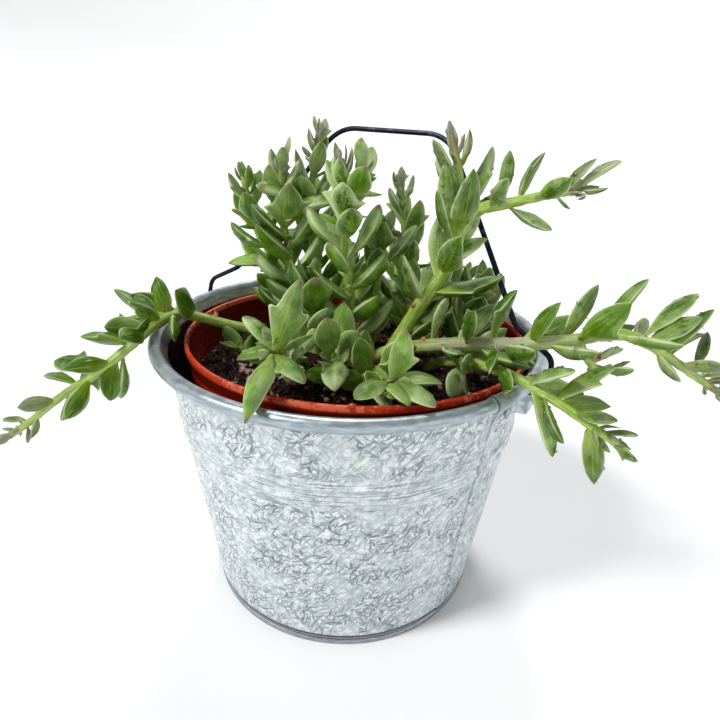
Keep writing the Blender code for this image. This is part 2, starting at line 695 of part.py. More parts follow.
class Leaf:
    """A plump pointed leaf: where it grows from, which way it points, and which way it lies flat."""

    def __init__(self, root, point, across, length, width, fins, arch):
        self.root, self.point, self.across = root, point, across
        self.length, self.fins, self.arch = length, fins, arch
        self.face = point.cross(across)
        self.half_width = width / 2

    def mesh(self, grow=0.0):
        half = self.half_width + grow
        deep = self.half_width * LEAF_THICK_SHARE + grow
        length = self.length + grow
        vertices = [self.root.copy()]
        rings = LEAF_RINGS if self.length > SMALL_LEAF else SMALL_LEAF_RINGS
        for share, width in rings:
            centre = self.root + self.point * share * length + self.face * self.bow(share)
            for side in (1, -1):
                fin = FIN_REACH if 0.4 < share < 0.7 and self.fins > (0 if side == 1 else 1) else 1
                forward = self.point * length * 0.14 * (fin - 1)
                vertices.append(centre + self.across * side * half * width * fin + forward)
                vertices.append(centre + self.face * side * deep * width)
        vertices.append(self.root + self.point * length + self.face * self.bow(1))
        faces = [(0, 1 + (k + 1) % 4, 1 + k) for k in range(4)]
        last = 4 * len(rings) - 3
        for ring in range(1, last, 4):
            for k in range(4):
                m = (k + 1) % 4
                faces.append((ring + k, ring + m, ring + 4 + m))
                faces.append((ring + k, ring + 4 + m, ring + 4 + k))
        faces += [(last + k, last + (k + 1) % 4, last + 4) for k in range(4)]
        return vertices, faces

    def bow(self, share):
        return self.arch * self.length * (share * share - 0.6 * share)

    def samples(self):
        """Points through the leaf, for tests against the round pieces."""
        for i in range(1, 11):
            share = i / 10
            centre = self.root + self.point * share * self.length + self.face * self.bow(share)
            width = self.half_width * math.sin(math.pi * min(0.97, 0.15 + 0.8 * share))
            for side in (-1, 0, 1):
                yield centre + self.across * side * width
                yield centre + self.face * side * width * LEAF_THICK_SHARE


def near_handle(point):
    """Whether a point is in the way of the wire as it swings back onto the rim."""
    along, back = handle_axes()
    offset = point - UP * PIVOT_LEVEL
    across = abs(offset.dot(along))
    behind, above = offset.dot(back), offset.z
    angle = math.atan2(behind, above)
    if not HANDLE_LEAN - math.radians(4) < angle < HANDLE_BACK + math.radians(3):
        return False
    here = Vector((across, math.hypot(behind, above)))
    corners = handle_corners() + [Vector((0, HANDLE_HEIGHT))]
    for a, b in zip(corners, corners[1:]):
        share = min(max((here - a).dot(b - a) / (b - a).length_squared, 0), 1)
        if (here - a.lerp(b, share)).length < WIRE + 1.6 * MM:
            return True
    return False


def in_the_way(point, pot_inverse):
    """Whether a point is in, or nearly touches, the bucket, the pot, the mix, an ear or the wire's path."""
    radius, level = point.xy.length, point.z
    bead = math.hypot(radius - (RIM_RADIUS - RIM_BEAD), level - RIM_LEVEL)
    if bead < RIM_BEAD + 2 * LEAF_MARGIN:
        return True
    if level < RIM_LEVEL and abs(radius - wall_radius(level) + WALL / 2) < WALL + 2 * LEAF_MARGIN:
        return True
    local = pot_inverse @ point
    out = local.xy.length
    if local.z < POT_HEIGHT + 2 * LEAF_MARGIN:
        if abs(out - POT_LIP_RADIUS + 1.4 * MM) < 1.6 * MM + 2 * LEAF_MARGIN:
            return True
        share = out / POT_LIP_RADIUS
        top = POT_HEIGHT - SOIL_BELOW_LIP + SOIL_MOUND * (1 - share * share) + SOIL_CRUMB
        if out < POT_LIP_RADIUS and local.z < top + LEAF_MARGIN:
            return True
    along, _ = handle_axes()
    beside = (point - along * point.dot(along)).xy.length
    if 62 * MM < abs(point.dot(along)) < 75 * MM and beside < 13 * MM and level < 98 * MM:
        return True
    return near_handle(point)


def spread_at(share):
    """How far the leaves lean out from the shoot: wide low down, closing towards its tip."""
    return math.radians(62 - 34 * share * share)


def leaf_size(share):
    """A leaf's share of full length along the shoot."""
    return 0.82 + 0.3 * math.sin(math.pi * min(1, share * 1.1)) - 0.42 * max(0, share - 0.75) / 0.25


def fanned_leaf(route, shoot, distance, turn, length, fins, arch):
    """A leaf that grows from the shoot at a distance along it, turned round the shoot."""
    start, tangent, radius = route.at(min(distance, route.length - TIP_SINK))
    level = UP.cross(tangent)
    if level.length < 0.2:
        level = Vector((1, 0, 0))
    level = (level - tangent * level.dot(tangent)).normalized()
    outward = level * math.cos(turn) + tangent.cross(level) * math.sin(turn)
    spread = spread_at(distance / route.length)
    point = tangent * math.cos(spread) + outward * math.sin(spread) + UP * shoot["lift"]
    point.normalize()
    across = point.cross(outward)
    if across.length < 0.2:
        across = point.orthogonal()
    root = start + outward * radius * 0.25
    return Leaf(root, point, across.normalized(), length, length * LEAF_WIDTH_SHARE, fins, arch)


def placed_leaf(route, place):
    """A leaf set by hand at a distance back from the shoot's tip."""
    back, direction, length, width, fins = place
    start, _, _ = route.at(route.length - max(back * MM, TIP_SINK))
    point = Vector(direction).normalized()
    across = point.cross(UP if abs(point.z) < 0.85 else Vector((0, -1, 0))).normalized()
    return Leaf(start, point, across, length * MM, width * MM, fins, PLACED_ARCH)


class Clearance:
    """Says whether a leaf is clear of the fixed pieces and of every other stem's solids."""

    def __init__(self, tubes):
        self.pot_inverse = pot_place().inverted()
        self.trees = {name: [BVHTree.FromPolygons(*one) for one in many] for name, many in tubes.items()}

    def allows(self, name, leaf):
        if any(in_the_way(point, self.pot_inverse) for point in leaf.samples()):
            return False
        grown = BVHTree.FromPolygons(*leaf.mesh(LEAF_MARGIN))
        for other, trees in self.trees.items():
            if other != name and any(grown.overlap(tree) for tree in trees):
                return False
        return True

    def take(self, name, leaf):
        self.trees[name].append(BVHTree.FromPolygons(*leaf.mesh()))


def leaves_of(name, shoots, routes, clearance):
    """The placed leaves, then one at each golden angle, each turned or shortened until it is clear."""
    draw = random.Random(name)
    found = []
    for shoot, route in zip(shoots, routes):
        for place in shoot["placed"]:
            leaf = placed_leaf(route, place)
            if clearance.allows(name, leaf):
                clearance.take(name, leaf)
                found.append(leaf)
        distance, turn = shoot["bare"] * MM, math.radians(shoot["phase"])
        while distance < route.length + 0.1 * MM:
            share = distance / route.length
            length = shoot["leaf"] * MM * leaf_size(share) * draw.uniform(0.85, 1.12)
            fins = 0 if draw.random() > FIN_SHARE else draw.choice((1, 1, 2))
            arch = draw.uniform(0.05, 0.3)
            jitter = math.radians(draw.uniform(-22, 22))
            for nudge, shrink in ((0, 1), (25, 1), (-25, 1), (50, 0.9), (-50, 0.9), (80, 0.8), (-80, 0.8)):
                angle = turn + jitter + math.radians(nudge)
                leaf = fanned_leaf(route, shoot, distance, angle, length * shrink, fins, arch)
                if clearance.allows(name, leaf):
                    clearance.take(name, leaf)
                    found.append(leaf)
                    break
            turn += GOLDEN_ANGLE
            distance += shoot["step"] * MM * draw.uniform(0.85, 1.15)
    return found


def make_stem(name, routes, leaves, material):
    trunk, *branches = [add_object(name, *shoot_tube(route), material) for route in routes]
    trunk.name = name
    parts = branches + [add_object("leaf", *leaf.mesh(), material) for leaf in leaves]
    combine(trunk, parts, "UNION")
    merge_flat_faces(trunk)
    return trunk


def soil_hole(route):
    """The plain straight hole that a stem stands in, wide enough for the stem's bend inside it."""
    foot, _, radius = route.at(0)
    axis = (route.at(HOLE_DEPTH)[0] - foot).normalized()
    bend = 0.0
    for i in range(1, 8):
        offset = route.at(HOLE_DEPTH * i / 7)[0] - foot
        bend = max(bend, (offset - axis * offset.dot(axis)).length)
    reach = 2 * HOLE_DEPTH
    return foot + axis * (reach / 2 - 1 * MM), axis, radius + bend + HOLE_CLEARANCE, reach, HOLE_SIDES


def main():
    for obj in list(bpy.data.objects):
        bpy.data.objects.remove(obj)
    zinc = make_material("zinc", (0.62, 0.65, 0.67), 0.42, 0.85)
    wire = make_material("dark wire", (0.05, 0.06, 0.09), 0.4, 0.7)
    terracotta = make_material("terracotta plastic", (0.62, 0.13, 0.05), 0.45)
    mix = make_material("potting mix", (0.05, 0.03, 0.02), 0.95)
    green = make_material("succulent green", (0.2, 0.33, 0.12), 0.5)

    make_bucket(zinc)
    make_bucket_bottom(zinc)
    make_ear("ear_right", 0, zinc)
    make_ear("ear_left", 1, zinc)
    make_handle(wire)
    make_pot(terracotta)

    routes = {name: [Route(shoot) for shoot in shoots] for name, shoots in STEMS.items()}
    clearance = Clearance({name: [shoot_tube(r) for r in many] for name, many in routes.items()})
    total = 0
    for name, shoots in STEMS.items():
        leaves = leaves_of(name, shoots, routes[name], clearance)
        total += len(leaves)
        make_stem(name, routes[name], leaves, green)
    make_soil(mix, [soil_hole(many[0]) for many in routes.values()])
    print(total, "leaves")


main()
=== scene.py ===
"""The looks of a string of dolphins in its nursery pot, set in a galvanised bucket.

Metres, +Z up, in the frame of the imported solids. Every shown piece replaces the solid that it
follows, or rests on one, and rides on that solid's body.
"""

import json
import math
import random
from contextlib import contextmanager

import bmesh
import bpy
import numpy as np
from bpy.props import FloatProperty, FloatVectorProperty, IntProperty, PointerProperty
from bpy.types import Operator, Panel, PropertyGroup
from mathutils import Matrix, Vector, noise
from mathutils.bvhtree import BVHTree

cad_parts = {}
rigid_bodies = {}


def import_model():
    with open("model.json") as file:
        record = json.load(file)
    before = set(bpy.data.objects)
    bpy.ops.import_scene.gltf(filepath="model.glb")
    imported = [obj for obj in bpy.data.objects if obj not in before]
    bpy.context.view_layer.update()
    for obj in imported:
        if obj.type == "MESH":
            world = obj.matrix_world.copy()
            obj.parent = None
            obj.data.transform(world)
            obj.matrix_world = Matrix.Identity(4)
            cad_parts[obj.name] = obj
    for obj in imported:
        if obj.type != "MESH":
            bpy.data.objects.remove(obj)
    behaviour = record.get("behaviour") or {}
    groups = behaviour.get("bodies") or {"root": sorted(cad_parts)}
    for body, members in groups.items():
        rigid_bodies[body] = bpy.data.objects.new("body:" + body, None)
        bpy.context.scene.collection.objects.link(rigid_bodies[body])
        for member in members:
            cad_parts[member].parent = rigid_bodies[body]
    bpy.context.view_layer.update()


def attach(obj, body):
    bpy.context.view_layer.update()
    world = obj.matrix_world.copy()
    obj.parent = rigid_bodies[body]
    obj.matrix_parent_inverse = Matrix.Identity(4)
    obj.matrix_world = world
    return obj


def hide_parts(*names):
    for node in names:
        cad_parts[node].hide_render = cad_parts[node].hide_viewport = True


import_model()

bl_info = {
    "name": "Potted string of dolphins",
    "version": (1, 0, 0),
    "blender": (4, 5, 0),
    "location": "3D View > Sidebar > Potted plant",
    "description": "Dresses a galvanised bucket, a nursery pot and the succulent that grows in it",
    "category": "Object",
}

MM = 0.001
UP = Vector((0, 0, 1))
SHELL, WIRE_BODY = "bucket", "handle"

# The camera that took the photograph, in millimetres
CAMERA_LENS = 29.0415
CAMERA_PLACE = (3.965, -197.728, 177.156)
CAMERA_AXES = ((0.99927, 0.01570, 0.03469), (-0.03807, 0.41199, 0.91039), (0, 0.91105, -0.41229))

# The bucket
RIM_RADIUS = 70 * MM
RIM_BEAD = 2.2 * MM
RIM_LEVEL = 99.35 * MM
FOOT_RADIUS = 51.7 * MM
FOOT_WIDTH = 2.1 * MM
FOOT_HEIGHT = 2.2 * MM
WALL_FOOT_RADIUS = 51.36 * MM
WALL_SLOPE = 0.1373
WALL = 0.7 * MM
RIB_LEVELS = (69 * MM, 74.2 * MM)
RIB_PROUD = 0.7 * MM
RIB_HALF = 1.7 * MM
SEAM_ANGLE = math.radians(-44)
SEAM_HALF = 2.2 * MM
SEAM_PROUD = 0.45 * MM
GAP = 0.3 * MM
BOTTOM_THICK = 0.8 * MM

# The ears and the wire handle
EAR_ANGLE = math.radians(-30)
PIVOT_LEVEL = 92 * MM
EAR_HALF_HEIGHT = 3.5 * MM
EAR_STAND_OFF = 4.0 * MM
# What an ear takes up: from and to the bucket's middle, to each side, and upwards
EAR_SPACE = (62 * MM, 75 * MM, 13 * MM, 98 * MM)
EAR_SHEET = 0.8 * MM
EAR_HOLE = 1.35 * MM
RIVET = 1.6 * MM
WIRE = 0.9 * MM
HANDLE_HALF_SPAN = 71.5 * MM
HANDLE_UPRIGHT = 13.5 * MM
HANDLE_SHOULDER = (58 * MM, 21 * MM)
HANDLE_HALF_TOP = 21.9 * MM
HANDLE_HEIGHT = 78.3 * MM
HANDLE_BENDS = (2 * MM, 4.5 * MM, 6 * MM, 14 * MM)
HANDLE_LEAN = math.radians(17.3)
HANDLE_BACK = math.radians(44.3)

# The nursery pot and what fills it
POT_CENTRE = Vector((2.8 * MM, 0, 0))
POT_TILT = math.radians(-1.7)
POT_HEIGHT = 94.6 * MM
POT_BASE_RADIUS = 42.5 * MM
POT_NECK_RADIUS = 57.8 * MM
POT_BAND_RADIUS = 59 * MM
POT_LIP_RADIUS = 61.1 * MM
POT_LIP_HEIGHT = 13 * MM
POT_WALL = 0.9 * MM
DRAIN_RADIUS = 4 * MM
DRAIN_CIRCLE = 28 * MM
SOIL_BELOW_LIP = 13 * MM
SOIL_MOUND = 2 * MM
SOIL_CRUMB = 0.8 * MM

# The leaves
GOLDEN_ANGLE = math.radians(137.5)
# A leaf that is in the way is turned by these degrees and shortened to these shares in turn
NUDGES = ((0, 1), (25, 1), (-25, 1), (50, 0.9), (-50, 0.9), (80, 0.8), (-80, 0.8))
LEAF_WIDTH_SHARE = 0.42
LEAF_THICK_SHARE = 0.62
LEAF_MARGIN = 0.35 * MM
LEAF_RINGS = ((0.16, 0.5), (0.5, 1.0), (0.8, 0.66))
SMALL_LEAF = 15.5 * MM
SMALL_LEAF_RINGS = ((0.22, 0.66), (0.62, 0.95))
FIN_REACH = 1.55
FIN_SHARE = 0.3
STEM_SIDES = 5
STEM_STEP = 8 * MM
TIP_SINK = 1.5 * MM
TIP_TAPER = 0.6
CURVE_STEP = 1.5 * MM
PLACED_ARCH = 0.2

# Each leafy stem's shoots: the diameter at the start and the end, the length without leaves, a full
# leaf's length, the distance between leaves, the first leaf's turn, how strongly leaves turn
# upwards, the route from the mix or the parent outwards, and the leaves set one by one. Each of
# those has its distance back from the tip, direction, length, width and fins.
SHOOT = ("thick", "bare", "leaf", "step", "phase", "lift", "route", "placed")
STEMS = {
    "stem_left": [
        ((4.4, 2.0), 52, 15, 4.2, 40, 0.1, ((-20, 13, 78), (-23, 12, 89), (-33, 8, 94),
         (-45, 4, 98), (-54, 0, 102), (-61, -5, 105), (-66, -15, 104.5), (-73, -24, 99),
         (-82, -28, 92), (-94, -30, 84), (-105, -32, 75), (-115, -32, 68)),
         ((66, (-5, -2, 9), 12, 6, 0), (40, (-9, 1, 3), 14, 7, 1), (48, (-2, -3, -9), 15, 7, 0))),
        ((3.0, 1.8), 6, 12, 3.0, 200, 0.1, ((-60, -4, 104.5), (-66, -8, 105.5), (-72, -11, 105.5),
         (-77, -13, 105)), ((14, (-3, 3, 9), 14, 7, 0),)),
    ],
    "stem_old_right": [
        ((5.6, 2.0), 38, 17, 4.4, 95, 0.55, ((6, -8, 78), (8, -9, 90), (15, -11.5, 97),
         (27, -18, 102), (39, -27, 107), (51, -38, 112), (65, -43, 116), (76, -43, 118.5),
         (87, -42, 115), (102, -40, 106), (115, -38, 98)), ((26, (6, 1, 9), 18, 7, 0),
         (36, (7, 1, 8), 20, 8, 0), (14, (2, 1, 9), 13, 5, 0), (8, (9, 0, 4), 12, 5, 0))),
        ((4.8, 2.0), 20, 19, 4.6, 10, 0.25, ((14, -11, 96), (18, -11.5, 104), (22, -14, 113),
         (28, -18, 125), (32, -20, 135), (33, -20, 146), (31, -20, 157), (28, -18, 168)),
         ((30, (-6, -4, 22), 25, 9, 0), (26, (9, 3, 9), 17, 8, 0), (54, (9, 2, 4), 20, 8, 0),
         (38, (10, 1, 9), 15, 8, 0))),
        ((3.8, 1.8), 9, 15, 4.0, 150, 0.35, ((33, -20, 145), (38, -20, 148), (46, -23, 150.5),
         (56, -26, 153.5), (65, -30, 156)), ((3, (7, 0, 6), 14, 6, 0), (24, (1, 0, 9), 15, 6, 0))),
        ((2.8, 1.6), 9, 10, 3.0, 60, 0.4, ((66, -43, 116), (70, -43.5, 110), (74, -44, 107),
         (78, -45, 109)), ()),
    ],
    "stem_low_right": [
        ((4.2, 2.0), 26, 18, 4.6, -60, 0.15, ((26, -6, 78), (29, -9, 90), (36, -21, 98),
         (45, -41, 104.5), (54, -53, 104.5), (65, -62, 100), (73, -67, 96)),
         ((28, (4, -3, -8), 22, 8, 0), (9, (2, -2, -9), 18, 7, 0), (20, (9, 2, 6), 19, 8, 1))),
    ],
    "stem_front_left": [
        ((3.6, 2.2), 22, 15, 3.0, 30, 0.2, ((-14, -6, 78), (-15.5, -10, 90), (-19, -22, 98),
         (-21, -34, 104), (-22, -46, 107.5)), ((1, (-2, -30, -1.8), 31, 9, 0),
         (5, (7, -1, 22), 25, 9, 2), (3, (9, -14, 1), 19, 8, 1), (7, (-6, 4, 6), 16, 8, 0),
         (9, (-8, -8, 3), 15, 8, 1))),
    ],
    "stem_front": [
        ((3.6, 2.2), 16, 16, 3.3, 80, 0.25, ((2, -14, 78), (4, -18, 90), (8, -29, 96),
         (12, -42, 101), (13.5, -54, 104)), ((2, (9, -10, 1.5), 17, 7, 0),
         (3, (3, -3, 14), 18, 6, 1), (3, (-9, -8, 1), 14, 7, 0), (2, (4, -12, 1), 13, 6, 0),
         (4, (9, -2, 2), 15, 7, 0))),
    ],
    "stem_front_inner": [
        ((3.4, 2.2), 8, 18, 3.0, 0, 0.3, ((-5, -9, 78), (-5, -13, 90), (-5, -22, 96),
         (-4, -32, 101)), ((2, (1, -12, 0), 17, 8, 0), (6, (-9, 1, 4), 17, 8, 0),
         (3, (7, -6, 3), 15, 7, 0))),
    ],
    "stem_tall_left": [
        ((3.8, 1.8), 18, 18, 3.5, 120, 0.25, ((-18, 22, 78), (-20, 22, 90), (-23, 20, 104),
         (-31, 16, 122), (-36, 12, 137), (-39, 10, 151)), ((34, (-9, -3, 1), 17, 8, 0),
         (26, (9, -3, 4), 17, 8, 0))),
    ],
    "stem_tall_mid": [
        ((3.8, 1.8), 18, 19, 3.7, 250, 0.3, ((-12, 9, 78), (-16, 11, 94), (-20, 12, 106),
         (-23, 8, 126), (-25, 4, 142), (-24, 3, 158)), ((20, (18, -4, 8), 21, 9, 0),
         (13, (-3, -8, 4), 14, 9, 0))),
    ],
    "stem_tall_back": [
        ((3.6, 1.6), 24, 18, 3.9, 300, 0.35, ((-6, 20, 78), (-9, 18, 95), (-13, 16, 108),
         (-15, 12, 129), (-15, 10, 149), (-12, 8, 168)), ()),
    ],
    "stem_purple": [
        ((4.2, 2.2), 18, 19, 3.8, 15, 0.3, ((-2, 2, 78), (-1, 3, 90), (0, 2, 104), (-1, -2, 120),
         (-3, -6, 134), (-2, -10, 146), (-4, -12, 160)), ()),
        ((2.8, 1.8), 3, 14, 3.0, 100, 0.5, ((-2, -9, 144), (1, -12, 151), (4, -13, 157)), ()),
    ],
    "stem_thin_back": [
        ((3.2, 1.6), 20, 17, 4.2, 70, 0.4, ((19, 22, 78), (21, 22, 92), (21, 22, 108),
         (20, 21, 122), (18, 20, 136), (16, 20, 151)), ()),
    ],
    "stem_right_upright": [
        ((3.2, 1.8), 12, 18, 3.4, 45, 0.5, ((36, 12, 78), (40, 10, 90), (45, 5, 104), (49, 1, 121)),
         ()),
    ],
    "stem_centre": [
        ((3.4, 1.8), 10, 19, 3.2, 190, 0.3, ((22, 8, 78), (22, 5, 92), (21, 0, 104), (22, -3, 118)),
         ()),
    ],
    "stem_inner_left": [
        ((3.4, 1.8), 10, 20, 3.2, 225, 0.3, ((-12, 2, 78), (-13, 3, 92), (-14, 0, 108),
         (-14, -3, 124)), ()),
    ],
    "stem_inner_right": [
        ((3.6, 1.8), 14, 19, 3.6, 330, 0.3, ((8, 12, 78), (8, 13, 94), (9, 10, 112), (10, 6, 128),
         (11, 4, 138)), ()),
    ],
    "stem_back_left": [
        ((3.2, 1.8), 10, 18, 4.0, 160, 0.3, ((-22, 36, 78), (-26, 39, 90), (-30, 43, 102),
         (-33, 47, 112)), ()),
    ],
    "stem_back": [
        ((3.2, 1.8), 12, 18, 4.0, 20, 0.3, ((4, 36, 78), (4, 37, 92), (2, 38, 106), (1, 38, 118)),
         ()),
    ],
    "stem_back_right": [
        ((3.2, 1.8), 10, 18, 4.0, 75, 0.3, ((33, 30, 78), (37, 32, 91), (42, 33, 103),
         (46, 34, 113)), ()),
    ],
    "stem_over_back": [
        ((3.4, 1.8), 16, 15, 4.0, 10, 0.1, ((16, 44, 78), (17, 49, 90), (18, 56, 100),
         (19, 64, 105), (20, 70, 103)), ()),
    ],
    "stem_on_soil": [
        ((2.8, 1.8), 6, 13, 2.8, 130, 0.35, ((-34, -4, 78), (-37, -4.5, 90), (-42, -6, 94)), ()),
    ],
}
STEMS = {name: [dict(zip(SHOOT, row)) for row in rows] for name, rows in STEMS.items()}


def wall_radius(level):
    return WALL_FOOT_RADIUS + WALL_SLOPE * level


def even_angles(count):
    return [math.tau * i / count for i in range(count)]


def polar(radius, angle, level=0.0):
    return Vector((radius * math.cos(angle), radius * math.sin(angle), level))


def ear_point(side, across, out, level):
    """A point by its distance along the wall, out from the wall, and level."""
    radius = wall_radius(level)
    return polar(radius + out, EAR_ANGLE + side * math.pi + across / radius, level)


def rounded_path(corners, radii, steps):
    """The corners of an open path, each inner one replaced by an arc of its own radius."""
    points = [corners[0]]
    for before, corner, after, radius in zip(corners, corners[1:], corners[2:], radii):
        one, two = before - corner, after - corner
        half = one.angle(two) / 2
        reach = min(radius / math.tan(half), 0.45 * one.length, 0.45 * two.length)
        one.normalize()
        two.normalize()
        bend = reach * math.tan(half)
        centre = corner + (one + two).normalized() * bend / math.sin(half)
        start, end = corner + one * reach - centre, corner + two * reach - centre
        for i in range(steps + 1):
            points.append(centre + start.slerp(end, i / steps).normalized() * bend)
    points.append(corners[-1])
    return points


def ring_faces(rings, sides):
    """The faces between a row of rings, and a cap at each end."""
    faces = []
    for i in range(rings - 1):
        for k in range(sides):
            a, b = i * sides + k, i * sides + (k + 1) % sides
            faces.append((a, b, b + sides, a + sides))
    last = (rings - 1) * sides
    return faces + [tuple(reversed(range(sides))), tuple(range(last, last + sides))]


def tube(points, radii, sides):
    """Vertices and faces of a closed tube, with a ring of sides at each point."""
    vertices = []
    for i, (point, radius) in enumerate(zip(points, radii)):
        tangent = (points[min(i + 1, len(points) - 1)] - points[max(i - 1, 0)]).normalized()
        across = across if i else tangent.orthogonal().normalized()
        across = (across - tangent * across.dot(tangent)).normalized()
        other = tangent.cross(across)
        for angle in even_angles(sides):
            vertices.append(point + (across * math.cos(angle) + other * math.sin(angle)) * radius)
    return vertices, ring_faces(len(points), sides)


def handle_axes():
    along = Vector((math.cos(EAR_ANGLE), math.sin(EAR_ANGLE), 0))
    back = Vector((-math.sin(EAR_ANGLE), math.cos(EAR_ANGLE), 0))
    return along, back


def handle_corners():
    """Half of the wire's outline from its end upwards: across, and above the ears."""
    return [
        Vector((HANDLE_HALF_SPAN, 0)), Vector((HANDLE_HALF_SPAN, HANDLE_UPRIGHT)),
        Vector(HANDLE_SHOULDER), Vector((HANDLE_HALF_TOP, HANDLE_HEIGHT)),
    ]


def pot_place():
    """Turns the pot about its base's back edge, which stands on the bucket's bottom."""
    floor = FOOT_HEIGHT + 0.1 * MM + 2 * GAP + BOTTOM_THICK
    turn = Matrix.Rotation(POT_TILT, 4, "X")
    back_edge = turn @ Vector((0, POT_BASE_RADIUS, 0))
    top = turn @ Vector((0, 0, POT_HEIGHT))
    return Matrix.Translation(POT_CENTRE + Vector((0, -top.y, floor - back_edge.z))) @ turn


def pot_radius(level):
    """The pot's outer radius below its lip band."""
    share = level / (POT_HEIGHT - POT_LIP_HEIGHT)
    return POT_BASE_RADIUS + (POT_NECK_RADIUS - POT_BASE_RADIUS) * share


def smooth_route(route, step):
    """Points about one step apart on a Catmull-Rom curve through the route's points."""
    points = [Vector(p) * MM for p in route]
    ends = [2 * points[0] - points[1]] + points + [2 * points[-1] - points[-2]]
    curve = []
    for a, b, c, d in zip(ends, ends[1:], ends[2:], ends[3:]):
        pieces = max(1, round((c - b).length / step))
        for i in range(pieces):
            t = i / pieces
            curve.append(
                0.5 * (2 * b + (c - a) * t + (2 * a - 5 * b + 4 * c - d) * t * t
                       + (3 * b - a - 3 * c + d) * t * t * t)
            )
    curve.append(points[-1])
    return curve


def walk(points, distance):
    """The point and the direction at a distance along a run of straight pieces."""
    for a, b in zip(points, points[1:]):
        piece = (b - a).length
        if distance <= piece:
            break
        distance -= piece
    return a.lerp(b, min(max(distance / piece, 0), 1)), (b - a).normalized()


def run_length(points):
    return sum((b - a).length for a, b in zip(points, points[1:]))


class Route:
    """A shoot's centre line: stations at even distances along its curve."""

    def __init__(self, shoot):
        curve = smooth_route(shoot["route"], CURVE_STEP)
        length = run_length(curve)
        count = max(3, round(length / STEM_STEP))
        self.points = [walk(curve, length * i / count)[0] for i in range(count + 1)]
        self.length = run_length(self.points)
        self.thick = [thick * MM / 2 for thick in shoot["thick"]]

    def radius(self, distance):
        return self.thick[0] + (self.thick[1] - self.thick[0]) * distance / self.length

    def at(self, distance):
        """The point, direction and radius at a distance along the shoot."""
        return *walk(self.points, distance), self.radius(distance)


def shoot_tube(route):
    count = len(route.points) - 1
    radii = [route.radius(route.length * i / count) for i in range(count + 1)]
    radii[-1] *= TIP_TAPER
    return tube(route.points, radii, STEM_SIDES)


class Leaf:
    """A plump pointed leaf: its root, which way it points, and which way it lies flat."""

    def __init__(self, root, point, across, length, width, fins, arch):
        self.root, self.point, self.across = root, point, across
        self.length, self.fins, self.arch = length, fins, arch
        self.face = point.cross(across)
        self.half_width = width / 2

    def mesh(self, grow=0.0):
        half = self.half_width + grow
        deep = self.half_width * LEAF_THICK_SHARE + grow
        length = self.length + grow
        vertices = [self.root.copy()]
        rings = LEAF_RINGS if self.length > SMALL_LEAF else SMALL_LEAF_RINGS
        for share, width in rings:
            centre = self.root + self.point * share * length + self.face * self.bow(share)
            for side in (1, -1):
                fin = FIN_REACH if 0.4 < share < 0.7 and self.fins > (0 if side == 1 else 1) else 1
                forward = self.point * length * 0.14 * (fin - 1)
                vertices.append(centre + self.across * side * half * width * fin + forward)
                vertices.append(centre + self.face * side * deep * width)
        vertices.append(self.root + self.point * length + self.face * self.bow(1))
        faces = [(0, 1 + (k + 1) % 4, 1 + k) for k in range(4)]
        last = 4 * len(rings) - 3
        for ring in range(1, last, 4):
            for k in range(4):
                m = (k + 1) % 4
                faces.append((ring + k, ring + m, ring + 4 + m))
                faces.append((ring + k, ring + 4 + m, ring + 4 + k))
        faces += [(last + k, last + (k + 1) % 4, last + 4) for k in range(4)]
        return vertices, faces

    def bow(self, share):
        return self.arch * self.length * (share * share - 0.6 * share)

    def samples(self):
        """Points through the leaf, for tests against the round pieces."""
        for i in range(1, 11):
            share = i / 10
            centre = self.root + self.point * share * self.length + self.face * self.bow(share)
            width = self.half_width * math.sin(math.pi * min(0.97, 0.15 + 0.8 * share))
            for side in (-1, 0, 1):
                yield centre + self.across * side * width
                yield centre + self.face * side * width * LEAF_THICK_SHARE


def near_handle(point):
    """Whether a point is in the way of the wire as it swings back onto the rim."""
    along, back = handle_axes()
    offset = point - UP * PIVOT_LEVEL
    across = abs(offset.dot(along))
    behind, above = offset.dot(back), offset.z
    angle = math.atan2(behind, above)
    if not HANDLE_LEAN - math.radians(4) < angle < HANDLE_BACK + math.radians(3):
        return False
    here = Vector((across, math.hypot(behind, above)))
    corners = handle_corners() + [Vector((0, HANDLE_HEIGHT))]
    for a, b in zip(corners, corners[1:]):
        share = min(max((here - a).dot(b - a) / (b - a).length_squared, 0), 1)
        if (here - a.lerp(b, share)).length < WIRE + 1.6 * MM:
            return True
    return False


def in_the_way(point, pot_inverse):
    """Whether a point is in, or nearly touches, a fixed piece or the wire's path."""
    radius, level = point.xy.length, point.z
    bead = math.hypot(radius - (RIM_RADIUS - RIM_BEAD), level - RIM_LEVEL)
    if bead < RIM_BEAD + 2 * LEAF_MARGIN:
        return True
    if level < RIM_LEVEL and abs(radius - wall_radius(level) + WALL / 2) < WALL + 2 * LEAF_MARGIN:
        return True
    local = pot_inverse @ point
    out = local.xy.length
    if local.z < POT_HEIGHT + 2 * LEAF_MARGIN:
        if abs(out - POT_LIP_RADIUS + 1.4 * MM) < 1.6 * MM + 2 * LEAF_MARGIN:
            return True
        share = out / POT_LIP_RADIUS
        top = POT_HEIGHT - SOIL_BELOW_LIP + SOIL_MOUND * (1 - share * share) + SOIL_CRUMB
        if out < POT_LIP_RADIUS and local.z < top + LEAF_MARGIN:
            return True
    along, _ = handle_axes()
    beside = (point - along * point.dot(along)).xy.length
    near, far, wide, high = EAR_SPACE
    if near < abs(point.dot(along)) < far and beside < wide and level < high:
        return True
    return near_handle(point)


def spread_at(share):
    """How far the leaves lean out from the shoot: wide low down, closing towards its tip."""
    return math.radians(62 - 34 * share * share)


def leaf_size(share):
    """A leaf's share of full length along the shoot."""
    return 0.82 + 0.3 * math.sin(math.pi * min(1, share * 1.1)) - 0.42 * max(0, share - 0.75) / 0.25


